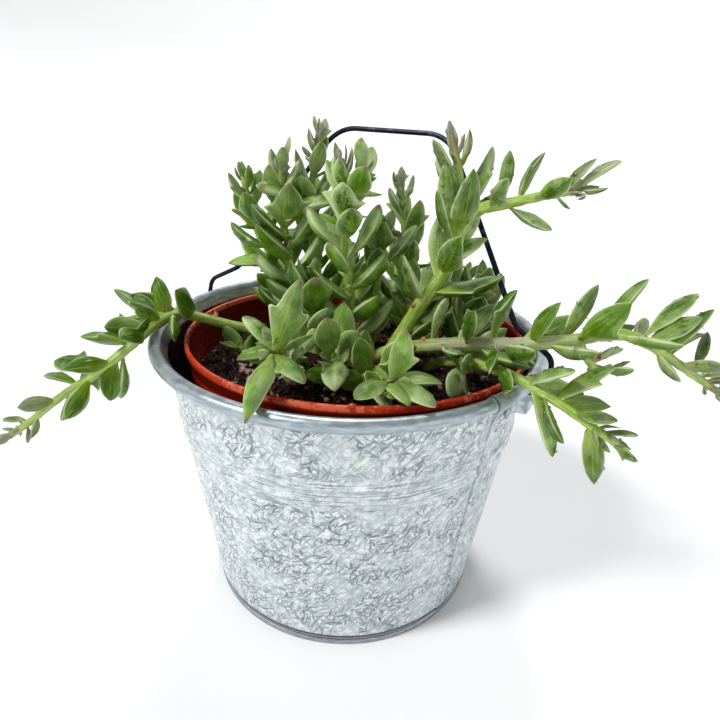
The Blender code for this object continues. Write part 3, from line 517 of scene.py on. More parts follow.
def fanned_leaf(route, shoot, distance, turn, length, fins, arch):
    """A leaf that grows from the shoot at a distance along it, turned round the shoot."""
    start, tangent, radius = route.at(min(distance, route.length - TIP_SINK))
    level = UP.cross(tangent)
    if level.length < 0.2:
        level = Vector((1, 0, 0))
    level = (level - tangent * level.dot(tangent)).normalized()
    outward = level * math.cos(turn) + tangent.cross(level) * math.sin(turn)
    spread = spread_at(distance / route.length)
    point = tangent * math.cos(spread) + outward * math.sin(spread) + UP * shoot["lift"]
    point.normalize()
    across = point.cross(outward)
    if across.length < 0.2:
        across = point.orthogonal()
    root = start + outward * radius * 0.25
    return Leaf(root, point, across.normalized(), length, length * LEAF_WIDTH_SHARE, fins, arch)


def placed_leaf(route, place):
    """A listed leaf, at a distance back from the shoot's tip."""
    back, direction, length, width, fins = place
    start, _, _ = route.at(route.length - max(back * MM, TIP_SINK))
    point = Vector(direction).normalized()
    across = point.cross(UP if abs(point.z) < 0.85 else Vector((0, -1, 0))).normalized()
    return Leaf(start, point, across, length * MM, width * MM, fins, PLACED_ARCH)


class Clearance:
    """Says whether a leaf is clear of the fixed pieces and of every other stem's solids."""

    def __init__(self, tubes):
        self.pot_inverse = pot_place().inverted()
        self.trees = {name: [BVHTree.FromPolygons(*one) for one in many]
                      for name, many in tubes.items()}

    def allows(self, name, leaf):
        if any(in_the_way(point, self.pot_inverse) for point in leaf.samples()):
            return False
        grown = BVHTree.FromPolygons(*leaf.mesh(LEAF_MARGIN))
        for other, trees in self.trees.items():
            if other != name and any(grown.overlap(tree) for tree in trees):
                return False
        return True

    def take(self, name, leaf):
        self.trees[name].append(BVHTree.FromPolygons(*leaf.mesh()))


def leaves_of(name, shoots, routes, clearance):
    """The placed leaves, then one at each golden angle, each nudged until it is clear."""
    draw = random.Random(name)
    found = []
    for shoot, route in zip(shoots, routes):
        for place in shoot["placed"]:
            leaf = placed_leaf(route, place)
            if clearance.allows(name, leaf):
                clearance.take(name, leaf)
                found.append(leaf)
        distance, turn = shoot["bare"] * MM, math.radians(shoot["phase"])
        while distance < route.length + 0.1 * MM:
            share = distance / route.length
            length = shoot["leaf"] * MM * leaf_size(share) * draw.uniform(0.85, 1.12)
            fins = 0 if draw.random() > FIN_SHARE else draw.choice((1, 1, 2))
            arch = draw.uniform(0.05, 0.3)
            jitter = math.radians(draw.uniform(-22, 22))
            for nudge, shrink in NUDGES:
                angle = turn + jitter + math.radians(nudge)
                leaf = fanned_leaf(route, shoot, distance, angle, length * shrink, fins, arch)
                if clearance.allows(name, leaf):
                    clearance.take(name, leaf)
                    found.append(leaf)
                    break
            turn += GOLDEN_ANGLE
            distance += shoot["step"] * MM * draw.uniform(0.85, 1.15)
    return found


# How the shown pieces are refined beyond the solids
SEAM_CROWDING = 0.85
SEAM_EDGE = 0.35 * MM
SEAM_ENDS = (3 * MM, 95.7 * MM)
# The lap of the rolled rim: its angle before the seam, its length, how proud it is, how short a
# way it rises in, and the level that it starts from
LAP_BEFORE = math.radians(8)
LAP_LENGTH = 13 * MM
LAP_PROUD = 0.45 * MM
LAP_RISE = 0.5 * MM
LAP_LEVEL = 96.6 * MM
# Half an ear's width, its raised middle and the slope down from that, in millimetres
EAR_HALF_WIDTH, EAR_RAISED, EAR_SLOPE = 11, 6.2, 1.6
RIVET_ACROSS = 8.6 * MM
# Where the plain wall starts and ends, its rows of points, and those across a rib
WALL_ENDS = (3.2 * MM, 95.6 * MM)
WALL_STEP = 2.6 * MM
RIB_STEPS = 9
MOUND_RINGS, MOUND_SIDES = 46, 150
# Where a dead strip lies on the mix, and where pale chips lie
DRY_STRIP = (13 * MM, 17 * MM)
PALE_CHIPS = (-36 * MM, -12 * MM)
# The nubs that moulding left on the pot's lip, in degrees round it
LIP_NUBS = (-119, 117, -90.5)
# The pot's lip, from its outside over the top: in from the widest, and down from the top
LIP_SECTION = ((0.75, 3.2), (0.5, 2.6), (0.05, 2.1), (0, 1.8), (0, 0.4), (0.25, 0), (1.1, 0),
               (1.4, 0.4), (1.7, 2.5))
# A leaf's rings, as shares of its length, and its width along it
LEAF_STATIONS = (0.0, 0.05, 0.12, 0.2, 0.29, 0.38, 0.46, 0.53, 0.6, 0.68, 0.77, 0.86, 0.93,
                 0.975, 1.0)
LEAF_AROUND = 12
LEAF_OUTLINE = ((0, 0.2), (0.1, 0.38), (0.2, 0.62), (0.35, 0.9), (0.5, 1.0), (0.65, 0.95),
                (0.8, 0.74), (0.9, 0.47), (0.96, 0.24), (1, 0.02))
FIN_PEAK, FIN_WIDTH, FIN_OUT, FIN_HOOK = 0.47, 0.1, 0.7, 0.16
LEAF_FLAT, LEAF_GROOVE = 0.62, 0.2
# Fins, where the leaf is widest, how far it sways to one side, and how lopsided its keel is
LEAF_FORMS = ((0, 0.5, 0.1, 0.0), (0, 0.6, -0.14, 0.25), (0, 0.42, 0.05, -0.25),
              (1, 0.5, -0.12, 0.2), (1, 0.56, -0.2, 0.0), (2, 0.5, 0.0, 0.1))
# The forms that a leaf with no, one or two fins can take
FORMS_WITH = ((0, 1, 2), (3, 4), (5,))
# Small leaves at a tip, dry scraps on a stem, and the share of leaves with a small one beside them
TIP_LEAVES, SCRAPS, AXIL_SHARE = 9, 3, 0.95
RIDGES = 5.0
WET_STEMS = ("stem_old_right", "stem_low_right")
# The floor's flat middle, and the curve that it rises in round that
FLOOR_FLAT, FLOOR_CURVE = 1.3, 1.5
# The bucket's marks, in millimetres along the wall and up it
WALL_ROUND = math.tau * 60
RIB_MIDDLE, BAND_TOP, RIM_UNDER = 71.6, 4.2, 96.3
# The zinc's layers of flecks: whether they slant, the cell against the fleck size, a fleck's
# length and width in its cell, the share of cells with one, the seed and the strength
FLECKS = ((0, 1.3, 0.7, 0.1, 0.75, 1, 0.8), (0, 1.0, 0.7, 0.13, 0.85, 2, 0.7125),
          (0, 0.8, 0.65, 0.12, 0.8, 3, 0.6), (0, 1.1, 0.4, 0.28, 0.4, 4, 0.525),
          (0, 0.6, 0.6, 0.15, 0.7, 5, 0.525), (0, 0.45, 0.6, 0.18, 0.6, 6, 0.45),
          (1, 1.15, 0.75, 0.12, 0.85, 7, 1.0), (1, 0.8, 0.75, 0.13, 0.85, 8, 0.9))

# How far each stem's tips are tinged with purple, and its middle where it is old
TINGE = {"stem_purple": 0.95, "stem_old_right": 0.6, "stem_left": 0.6, "stem_tall_back": 0.75,
         "stem_tall_mid": 0.55, "stem_thin_back": 0.6}
WORN = {"stem_old_right": 0.9}
# How wide and how thick the leaves of a stem are, against the solids
BUILD = {"stem_old_right": (0.82, 1.1), "stem_low_right": (0.82, 1.1), "stem_left": (1.2, 1.3),
         "stem_front_left": (0.78, 1.25)}
# How much grey bloom each stem carries
BLOOM = {"stem_old_right": 0.34, "stem_low_right": 0.3, "stem_left": 0.1, "stem_purple": 0.75,
         "stem_tall_mid": 0.6, "stem_front_left": 0.6, "stem_front_inner": 0.5}
# What a point of a stem says to the leafy tree, where it isn't told otherwise
POINT = {**dict.fromkeys(("leaf", "thick", "share", "arch", "twist", "tint", "young", "bloom"),
                         0.0),
         "kind": 0, "toward": UP, "across": (1, 0, 0), "size": (0, 0, 0), "root": (0, 0, 0)}


class Value:
    """One socket of a node, which takes part in plain expressions."""

    def __init__(self, graph, socket):
        self.graph, self.socket = graph, socket

    def __abs__(self):
        return self.graph.maths("ABSOLUTE", self)

    def also(self, name):
        """Another output of the same node."""
        return Value(self.graph, self.graph.find(self.socket.node.outputs, name))


def overload(word, kind):
    """Lets an operator take a value on either side."""
    setattr(Value, f"__{word}__", lambda self, other: self.graph.maths(kind, self, other))
    setattr(Value, f"__r{word}__", lambda self, other: self.graph.maths(kind, other, self))


for pair in (("add", "ADD"), ("sub", "SUBTRACT"), ("mul", "MULTIPLY"), ("truediv", "DIVIDE"),
             ("pow", "POWER"), ("gt", "GREATER_THAN"), ("lt", "LESS_THAN")):
    overload(*pair)


def titled(key):
    """A socket's name, from a keyword."""
    return key.replace("_", " ").title().replace("Ior", "IOR")


class Graph:
    """The nodes of a material or of a Geometry Nodes tree."""

    def __init__(self, tree):
        self.tree = tree

    def find(self, sockets, key):
        shown = [socket for socket in sockets if socket.enabled]
        return shown[key] if isinstance(key, int) else next(s for s in shown if s.name == key)

    def feed(self, socket, value):
        if isinstance(value, Value):
            self.tree.links.new(value.socket, socket)
        elif socket.type == "RGBA" and len(value) == 3:
            socket.default_value = (*value, 1)
        else:
            socket.default_value = value

    def node(self, kind, settings=None, numbered=(), output=0, **named):
        """Adds a node with its settings, feeds its inputs and gives one of its outputs."""
        node = self.tree.nodes.new(kind)
        for name, value in (settings or {}).items():
            setattr(node, name, value)
        for key, value in (*enumerate(numbered), *((titled(key), named[key]) for key in named)):
            self.feed(self.find(node.inputs, key), value)
        return Value(self, self.find(node.outputs, output))

    def maths(self, operation, *numbers):
        return self.node("ShaderNodeMath", {"operation": operation}, numbers)

    def vectors(self, operation, *vectors, **share):
        return self.node("ShaderNodeVectorMath", {"operation": operation}, vectors, **share)

    def scaled(self, vector, share):
        return self.vectors("SCALE", vector, scale=share)

    def vector(self, x, y, z):
        return self.node("ShaderNodeCombineXYZ", x=x, y=y, z=z)

    def parts(self, vector):
        x = self.node("ShaderNodeSeparateXYZ", vector=vector)
        return x, x.also("Y"), x.also("Z")

    def ramp(self, value, low, high):
        """0 below low, 1 above high, and smooth between them."""
        return self.node("ShaderNodeMapRange", {"interpolation_type": "SMOOTHSTEP"}, value=value,
                         from_min=low, from_max=high)

    def noise(self, place, scale, detail=2.0, roughness=0.5):
        return self.node("ShaderNodeTexNoise", vector=place, scale=scale, detail=detail,
                         roughness=roughness)


class Paint(Graph):
    """The nodes of one material."""

    def __init__(self, name, **constants):
        self.material = bpy.data.materials.new(name)
        self.material.use_nodes = True
        super().__init__(self.material.node_tree)
        self.shader = self.tree.nodes["Principled BSDF"]
        for key, value in constants.items():
            self.feed(self.shader.inputs[titled(key)], value)

    def place(self):
        """The point on the piece, in metres."""
        return self.node("ShaderNodeTexCoord", output="Object")

    def along_wall(self):
        """The place on a turned piece: its share of the turn, and its level."""
        return self.node("ShaderNodeUVMap", {"uv_map": "Wall"})

    def attributes(self, *names):
        return [self.node("ShaderNodeAttribute", {"attribute_name": name}, output="Fac")
                for name in names]

    def most(self, *numbers):
        return self.maths("MAXIMUM", *numbers)

    def least(self, *numbers):
        return self.maths("MINIMUM", *numbers)

    def blend(self, mask, below, above):
        return self.node("ShaderNodeMix", {"data_type": "RGBA"}, output="Result", factor=mask,
                         a=below, b=above)

    def relief(self, height, depth, strength=1.0):
        bump = self.node("ShaderNodeBump", height=height, distance=depth, strength=strength)
        self.feed(self.shader.inputs["Normal"], bump)

    def finish(self, *looks):
        """Feeds the colour, and where they are given the roughness and how metallic it is."""
        for name, value in zip(("Base Color", "Roughness", "Metallic"), looks):
            self.feed(self.shader.inputs[name], value)
        return self.material


class Builder(Graph):
    """A Geometry Nodes tree with named inputs."""

    def __init__(self, name, **inputs):
        super().__init__(bpy.data.node_groups.new(name, "GeometryNodeTree"))
        for key, kind in {"geometry": "Geometry", **inputs}.items():
            self.tree.interface.new_socket(name=titled(key), in_out="INPUT",
                                           socket_type="NodeSocket" + kind)
        self.tree.interface.new_socket(name="Geometry", in_out="OUTPUT",
                                       socket_type="NodeSocketGeometry")
        self.inputs = self.tree.nodes.new("NodeGroupInput")

    def input(self, name):
        return Value(self, self.inputs.outputs[name])

    def named(self, name, kind="FLOAT"):
        return self.node("GeometryNodeInputNamedAttribute", {"data_type": kind}, name=name)

    def store(self, made, name, value, kind="FLOAT", domain="POINT"):
        return self.node("GeometryNodeStoreNamedAttribute", {"data_type": kind, "domain": domain},
                         geometry=made, name=name, value=value)

    def moved(self, made, **place):
        return self.node("GeometryNodeSetPosition", geometry=made, **place)

    def planted(self, points, pick, turn, size):
        """One of the given shapes on each point."""
        shapes = self.node("GeometryNodeCollectionInfo", collection=self.input("Shapes"),
                           separate_children=True, reset_children=True)
        made = self.node("GeometryNodeInstanceOnPoints", points=points, instance=shapes,
                         pick_instance=True, instance_index=pick, rotation=turn, scale=size)
        return self.node("GeometryNodeRealizeInstances", geometry=made)

    def clad(self, made, label="Material"):
        """A real mesh in its material."""
        made = self.node("GeometryNodeRealizeInstances", geometry=made)
        return self.node("GeometryNodeSetMaterial", geometry=made, material=self.input(label))

    def finish(self, made):
        self.feed(self.tree.nodes.new("NodeGroupOutput").inputs["Geometry"], made)
        return self.tree


def new_object(name, mesh):
    obj = bpy.data.objects.new(name, mesh)
    bpy.context.scene.collection.objects.link(obj)
    return obj


def new_mesh(name, vertices, faces=(), edges=()):
    mesh = bpy.data.meshes.new(name)
    mesh.from_pydata(*([tuple(one) for one in many] for many in (vertices, edges, faces)))
    return mesh


def add_attribute(mesh, name, kind, values):
    field = "vector" if kind == "FLOAT_VECTOR" else "value"
    values = np.array(values, np.int32 if kind == "INT" else np.float32)
    mesh.attributes.new(name, kind, "POINT").data.foreach_set(field, values.ravel())


@contextmanager
def editing(mesh):
    """Opens a mesh, and puts back what was made of it."""
    work = bmesh.new()
    work.from_mesh(mesh)
    yield work
    work.to_mesh(mesh)
    work.free()


def plain(obj):
    """Puts the evaluated mesh in the modifiers' place."""
    graph = bpy.context.evaluated_depsgraph_get()
    mesh = bpy.data.meshes.new_from_object(obj.evaluated_get(graph))
    obj.modifiers.clear()
    obj.data = mesh
    return obj


def grown(name, mesh, tree, **inputs):
    """A plain piece that a Geometry Nodes tree makes from a mesh."""
    obj = new_object(name, mesh)
    modifier = obj.modifiers.new(tree.name, "NODES")
    modifier.node_group = tree
    for key, value in inputs.items():
        modifier[tree.interface.items_tree[titled(key)].identifier] = value
    return plain(obj)


def turn_outwards(obj):
    """Turns the piece's faces to look outwards."""
    with editing(obj.data) as work:
        bmesh.ops.recalc_face_normals(work, faces=work.faces)
    return obj


def settle(obj, body, slot, *nodes):
    """The piece rides on a body and stands for its nodes; its slot is not used."""
    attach(obj, body)
    if nodes:
        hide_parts(*nodes)
    return obj


def turned_tree():
    """Turns a row of profile points round the Z axis, with its columns crowded near the start."""
    build = Builder("Turned piece", sides="Int", start="Float", crowding="Float", wobble="Float",
                    material="Material")
    profile, sides = build.input("Geometry"), build.input("Sides")
    count = build.node("GeometryNodeAttributeDomainSize", geometry=profile)
    grid = build.node("GeometryNodeMeshGrid", size_x=1.0, size_y=1.0, vertices_x=sides + 1,
                      vertices_y=count)
    index, place = build.node("GeometryNodeInputIndex"), build.node("GeometryNodeInputPosition")
    row = build.maths("FLOOR", index / count)
    point = build.node("GeometryNodeSampleIndex", {"data_type": "FLOAT_VECTOR", "domain": "POINT"},
                       geometry=profile, value=place, index=index - row * count)
    radius, _, level = build.parts(point)

    def crowded(share):
        turn = share * math.tau
        return turn - build.input("Crowding") * build.maths("SINE", turn)

    angle = crowded(row / sides) + build.input("Start")
    x, y = (radius * build.maths(wave, angle) for wave in ("COSINE", "SINE"))
    made = build.moved(grid, position=build.vector(x, y, level))
    share, _, _ = build.parts(grid.also("UV Map"))
    _, _, height = build.parts(place)
    uv = build.vector(crowded(share) / math.tau, height * 10, 0.0)
    made = build.store(made, "Wall", uv, "FLOAT2", "CORNER")
    ripple = build.noise(place, 22.0, 1.0) - 0.5
    away = build.vectors("NORMALIZE", build.vectors("MULTIPLY", place, (1.0, 1.0, 0.0)))
    made = build.moved(made, offset=build.scaled(away, ripple * build.input("Wobble")))
    made = build.node("GeometryNodeMergeByDistance", geometry=made, distance=1e-6)
    return build.finish(build.clad(build.node("GeometryNodeSetShadeSmooth", geometry=made)))


def turned_piece(name, profile, tree, **inputs):
    mesh = new_mesh(name, [(radius, 0, level) for radius, level in profile])
    return turn_outwards(grown(name, mesh, tree, **inputs))


def swept(build, line):
    """Tubes along the lines of a mesh, as thick as their points say, with shallow ridges."""
    circle = build.node("GeometryNodeCurvePrimitiveCircle", resolution=build.input("Sides"),
                        radius=1.0)
    place = build.node("GeometryNodeInputPosition")
    x, y, _ = build.parts(place)
    wave = build.maths("COSINE", build.maths("ARCTAN2", y, x) * RIDGES)
    circle = build.moved(circle, position=build.scaled(place, 1.0 + wave * build.input("Ridge")))
    circle = build.store(build.store(circle, "round_x", x), "round_y", y)
    tubes = build.node("GeometryNodeCurveToMesh",
                       curve=build.node("GeometryNodeMeshToCurve", mesh=line),
                       profile_curve=circle, scale=build.named("thick"), fill_caps=True)
    return build.node("GeometryNodeSetShadeSmooth", geometry=tubes)


def wire_tree():
    """A round wire along a line."""
    build = Builder("Bent wire", sides="Int", ridge="Float", material="Material")
    return build.finish(build.clad(swept(build, build.input("Geometry"))))


def leafy_tree():
    """Shoots along the lines of a mesh, and a leaf on each of its loose points."""
    build = Builder("Leafy stem", sides="Int", ridge="Float", shapes="Collection",
                    crinkle="Float", shoot_material="Material", leaf_material="Material")
    parted = build.node("GeometryNodeSeparateGeometry", {"domain": "POINT"},
                        geometry=build.input("Geometry"), selection=build.named("leaf") > 0.5)
    shoots = build.clad(swept(build, parted.also("Inverted")), "Shoot Material")
    toward, across, size, root = (
        build.named(name, "FLOAT_VECTOR") for name in ("toward", "across", "size", "root"))
    turn = build.node("FunctionNodeAxesToRotation", {"primary_axis": "Z", "secondary_axis": "X"},
                      primary_axis=toward, secondary_axis=across)
    leaves = build.planted(parted, build.named("kind", "INT"), turn, size)
    place, share = build.node("GeometryNodeInputPosition"), build.named("along")
    curled = build.node("ShaderNodeVectorRotate", {"rotation_type": "AXIS_ANGLE"}, vector=place,
                        center=root, axis=toward, angle=build.named("twist") * share)
    bow = build.scaled(build.vectors("CROSS_PRODUCT", toward, across),
                       build.named("arch") * (share * share - share * 0.6))
    uneven = (build.noise(place, 130.0, 2.0, 0.6) - 0.5) * build.input("Crinkle")
    crinkle = build.scaled(build.node("GeometryNodeInputNormal"), uneven)
    leaves = build.moved(leaves, position=curled, offset=build.vectors("ADD", bow, crinkle))
    both = build.tree.nodes.new("GeometryNodeJoinGeometry")
    for part in (build.clad(leaves, "Leaf Material"), shoots):
        build.feed(both.inputs[0], part)
    return build.finish(Value(build, both.outputs[0]))


def scattered_tree(name, upright):
    """Small shapes over a piece's faces, turned anyhow or standing on the face."""
    build = Builder(name, shapes="Collection", count="Int", density="Float", smallest="Float",
                    largest="Float", sink="Float", seed="Int", material="Material")
    seed = build.input("Seed")
    spread = build.node("GeometryNodeDistributePointsOnFaces", {"distribute_method": "RANDOM"},
                        mesh=build.input("Geometry"), selection=build.named("bed") > 0.5,
                        density=build.input("Density"), seed=seed)

    def drawn(kind, step, **limits):
        return build.node("FunctionNodeRandomValue", {"data_type": kind}, seed=seed + step,
                          **limits)

    sunk = build.scaled(spread.also("Normal"), build.input("Sink") * -1.0)
    points = build.moved(build.store(spread, "tone", drawn("FLOAT", 0)), offset=sunk)
    turn = spread.also("Rotation")
    if not upright:
        any_way = drawn("FLOAT_VECTOR", 1, max=(math.tau,) * 3)
        turn = build.node("FunctionNodeEulerToRotation", euler=any_way)
    low, high = (build.vector(*[build.input(name)] * 3) for name in ("Smallest", "Largest"))
    size = drawn("FLOAT_VECTOR", 2, min=low, max=high)
    pick = drawn("INT", 3, min=0, max=build.input("Count") - 1)
    return build.finish(build.clad(build.planted(points, pick, turn, size)))


def shape_set(name, meshes):
    """A collection of shapes for a tree to draw from, kept out of the scene."""
    group = bpy.data.collections.new(name)
    for i, mesh in enumerate(meshes):
        group.objects.link(bpy.data.objects.new(f"{name}_{i}", mesh))
    return group


# Finishes

def flecks(paint, x, y, cell, length, width, share, seed):
    """Sharp slivers of crystal, one to a cell, each turned its own way."""
    place = paint.vector(x / cell + seed * 3.7, y / cell + seed * 1.3, 0.0)
    scatter = paint.node("ShaderNodeTexVoronoi", {"voronoi_dimensions": "2D"}, output="Position",
                         vector=place, scale=1.0, randomness=1.0)
    dx, dy, _ = paint.parts(paint.vectors("SUBTRACT", place, scatter))
    turn, draw, _ = paint.parts(scatter.also("Color"))
    cosine, sine = (paint.maths(wave, turn * math.tau) for wave in ("COSINE", "SINE"))
    along, beside = abs(dx * cosine + dy * sine), abs(dy * cosine - dx * sine)
    return paint.ramp(along / length + beside / width, 1.05, 0.85) * (draw < share)


def zinc_finish(look):
    """Galvanised sheet: pale crystals with grey flecks, drawn out into streaks on the ribs, with
    painted shade in the groove above the foot band, at the rim's lap and on the inside, where the
    pot's reddish reflection is painted too.
    """
    paint = Paint("zinc_spangle")
    u, v, _ = paint.parts(paint.along_wall())
    round_wall, level = u * WALL_ROUND, v * 100.0
    x, y = (way + (paint.noise(paint.vector(round_wall, level, depth), 0.4, 3.0, 0.6) - 0.5) * 0.8
            for way, depth in ((round_wall, 0.0), (level, 7.0)))

    def clouds(depth, *grain):
        return paint.noise(paint.vector(x, y, depth), *grain)

    slant, across = (x + y) * 0.42, (y - x) * 0.95
    marks = 0.0
    for slanted, cell, length, width, share, seed, strength in FLECKS:
        layer = flecks(paint, slant if slanted else x, across if slanted else y,
                       look.fleck_size / MM * cell, length, width, share, seed) * strength
        marks = paint.most(marks, layer)
    shards = paint.node("ShaderNodeTexVoronoi",
                        {"voronoi_dimensions": "2D", "feature": "DISTANCE_TO_EDGE"},
                        vector=paint.vector(slant, (y - x) * 0.17, 0.0), scale=1.0)
    edges = paint.ramp(shards, 0.06, 0.02) * paint.ramp(clouds(5.0, 0.35, 2.0), 0.45, 0.6)
    marks = paint.most(marks, edges * 0.3)
    marks = marks * (0.4 + 0.6 * paint.ramp(clouds(3.0, 0.09, 3.0), 0.38, 0.58))
    streaks = paint.noise(paint.vector(x * 0.07, y * 1.6, 1.0), 1.0, 3.0, 0.65)
    ribbed = paint.ramp(abs(level - RIB_MIDDLE), 8.0, 5.0)
    marks = marks * (1 - ribbed * 0.6) + paint.ramp(streaks, 0.5, 0.62) * ribbed * 0.75
    mottle = clouds(11.0, 0.35, 4.0, 0.65)
    tone = paint.blend(paint.ramp(mottle, 0.32, 0.68), look.pale, look.cool)
    tone = paint.blend(marks, tone, look.fleck)
    rolled = paint.ramp(level, RIM_UNDER, RIM_UNDER + 1)
    banded = paint.ramp(level, BAND_TOP, BAND_TOP - 0.4)
    grain = paint.noise(paint.vector(u * 90.0, v * 90.0, 2.0), 1.0, 3.0)
    bare = paint.blend(paint.ramp(grain, 0.3, 0.7), look.rim, look.rim_light)
    smooth = paint.most(rolled, banded)
    tone = paint.blend(smooth, tone, bare)
    px, py, pz = paint.parts(paint.place())
    inner_radius = pz * WALL_SLOPE + (WALL_FOOT_RADIUS - 0.5 * WALL)
    inside = ((px * px + py * py) ** 0.5 < inner_radius) * (1 - rolled)
    outside = 1 - inside
    off = paint.least(u, 1 - u) * WALL_ROUND
    lines = paint.ramp(abs(off - SEAM_HALF / MM), 0.7, 0.2) * (1 - smooth)
    lap = paint.ramp(abs(u - (1 - LAP_BEFORE / math.tau)) * WALL_ROUND, 0.4, 0.1)
    # Painted shade: a dark line where the lap of the rolled rim steps down
    tone = paint.blend(rolled * lap * 0.75, tone, look.groove_shade)
    tone = paint.blend(paint.most(lines * 0.45, banded * 0.35), tone, look.fleck)
    # Painted shade: a near-black line in the groove above the foot band
    tone = paint.blend(paint.ramp(abs(level - BAND_TOP), 0.7, 0.3) * outside, tone, look.groove_shade)
    # Painted shade on the sheet inside the bucket, with a painted reddish reflection of the pot
    tone = paint.blend(inside, tone, look.inside)
    paint.relief(marks * (1 - smooth) * outside + mottle, 0.06 * MM, 0.35)
    return paint.finish(tone, 0.5 - marks * 0.1 - smooth * 0.1 - inside * 0.16,
                        0.2 + smooth * 0.55 + inside * 0.6)


def wire_finish(look):
    """Dark blackened wire with worn, greyer places."""
    paint = Paint("blackened_wire")
    wear = paint.ramp(paint.noise(paint.place(), 260.0, 3.0), 0.56, 0.74)
    return paint.finish(paint.blend(wear, look.wire, look.worn), 0.34 + wear * 0.2, 0.75)


def terracotta_finish(look):
    """Thin moulded plastic with scuffs and crumbs of dried mix, painted shade on the inside, and
    the lip's moulding flash drawn lighter as a painted highlight.
    """
    paint = Paint("terracotta_plastic", specular_ior_level=0.18)
    place = paint.place()
    scuffs = paint.ramp(paint.noise(place, 330.0, 4.0, 0.7), 0.55, 0.75)
    broad = paint.noise(place, 35.0, 2.0)
    tone = paint.blend(paint.ramp(broad, 0.35, 0.65), look.terracotta, look.faded)
    tone = paint.blend(scuffs * 0.25, tone, look.dust)
    x, y, z = paint.parts(place)
    x, y, z = (x * row[0] + y * row[1] + z * row[2] + row[3] for row in pot_place().inverted()[:3])
    slope = (POT_BAND_RADIUS - POT_BASE_RADIUS) / (POT_HEIGHT - POT_LIP_HEIGHT)
    inner_radius = z * slope + (POT_BASE_RADIUS - 0.5 * POT_WALL)
    inside = ((x * x + y * y) ** 0.5 < inner_radius) * (z < POT_HEIGHT - 1.2 * MM)
    # Painted shade: the inside of the pot is drawn darker, for the shade in it
    tone = paint.blend(inside * 0.85, tone, look.wet)
    # The ragged moulding flash along the lip's top, drawn lighter as a painted highlight
    tears = paint.noise(place, 420.0, 3.0, 0.6) + paint.noise(place, 45.0, 1.0) * 0.7
    ragged = paint.ramp(tears, 0.84, 0.92) * 0.9
    tone = paint.blend((z > POT_HEIGHT - 1.6 * MM) * ragged, tone, look.flash_and_highlight)
    paint.relief(paint.noise(place, 330.0, 4.0, 0.6), 0.35 * MM, 0.5)
    return paint.finish(tone, 0.26 + scuffs * 0.3)


def mix_finish(look):
    """Damp dark peat."""
    paint = Paint("damp_peat", specular_ior_level=0.1)
    place = paint.place()
    fine = paint.noise(place, 900.0, 4.0, 0.7)
    tone = paint.blend(fine, look.peat, look.bark)
    paint.relief(fine, 0.6 * MM)
    return paint.finish(tone, 0.85)


def crumb_finish(look):
    """Crumbs of peat and bark, a few of them paler chips."""
    paint = Paint("mix_crumbs", specular_ior_level=0.25)
    tone, = paint.attributes("tone")
    fine = paint.noise(paint.place(), 1500.0, 3.0)
    colour = paint.blend(paint.ramp(tone, 0.2, 0.75), look.peat, look.bark)
    colour = paint.blend(paint.ramp(tone, 0.86, 0.97), colour, look.chip)
    colour = paint.blend(paint.ramp(fine, 0.45, 0.75) * 0.5, colour, look.peat)
    paint.relief(fine, 0.4 * MM)
    return paint.finish(colour, 0.3)


def perlite_finish(look):
    """White porous grains."""
    paint = Paint("perlite")
    fine = paint.noise(paint.place(), 1300.0, 4.0)
    colour = paint.blend(paint.ramp(fine, 0.35, 0.65), look.perlite, look.perlite_shade)
    paint.relief(fine, 0.3 * MM)
    return paint.finish(colour, 0.9)


def leaf_finish(look):
    """Succulent skin: green under a patchy grey bloom, with a pale edge, a vein and a brown tip,
    and painted highlight on the upper side and towards the edges.
    """
    paint = Paint("leaf_skin", subsurface_weight=0.08, subsurface_radius=(0.5, 1.0, 0.1),
                  subsurface_scale=2.5 * MM, specular_ior_level=0.14)
    along, side, top, tint, young, bloom = paint.attributes(
        "along", "side", "top", "tint", "young", "bloom")
    place, beside = paint.place(), abs(side)
    broad, fine = paint.noise(place, 170.0, 3.0), paint.noise(place, 1300.0, 3.0, 0.65)
    strands = paint.vector(side * 4.0 + tint * 60, along * 1.4, tint * 31)
    strands = paint.noise(strands, 1.6, 4.0, 0.65)
    green = paint.blend(tint, look.green_deep, look.green_mid)
    green = paint.blend(paint.ramp(strands, 0.44, 0.7) * 0.62, green, look.green_light)
    green = paint.blend(paint.ramp(broad, 0.56, 0.34) * 0.55, green, look.green_deep)
    green = paint.blend((1 - along) ** 3.0 * 0.7, green, look.green_base)
    # The pale edge: partly the skin's own paler margin and partly painted highlight
    rim = paint.ramp(beside, 0.86, 0.98)
    vein = paint.ramp(beside, 0.12, 0.0) * paint.ramp(along, 0.95, 0.5)
    bloom_and_highlight = paint.ramp(broad, 0.42, 0.72) * 0.4 + paint.ramp(fine, 0.54, 0.66) * 0.22
    # Painted highlight: the bloom is drawn paler on the upper side, along the vein on top and
    # towards the edges
    bloom_and_highlight = (bloom_and_highlight * (bloom * 1.3 + top * 0.1) + top * bloom * 0.4 + rim * (0.5 + bloom * 0.4)
              + vein * top * 0.1 + paint.ramp(beside, 0.35, 1.0) * (0.04 + bloom * 0.4))
    bloom_and_highlight = paint.least(bloom_and_highlight, 0.8)
    skin = paint.blend(bloom_and_highlight, green, look.bloom)
    purple = young * paint.ramp(paint.noise(place, 260.0, 2.0), 0.3, 0.6)
    skin = paint.blend(paint.least(purple, 0.9), skin, look.purple)
    specks = paint.ramp(paint.noise(place, 2100.0, 1.0), 0.7, 0.76)
    skin = paint.blend(specks * 0.5, skin, look.tip)
    tip = paint.ramp(along, 0.9, 0.985) * paint.ramp(tint, 0.15, 0.6)
    skin = paint.blend(tip * 0.8, skin, look.tip)
    height = strands * 0.6 + fine * 0.14 - vein * 0.35 + broad * 0.8
    paint.relief(height, 0.45 * MM, 0.7)
    return paint.finish(skin, 0.24 + bloom_and_highlight * 0.4)


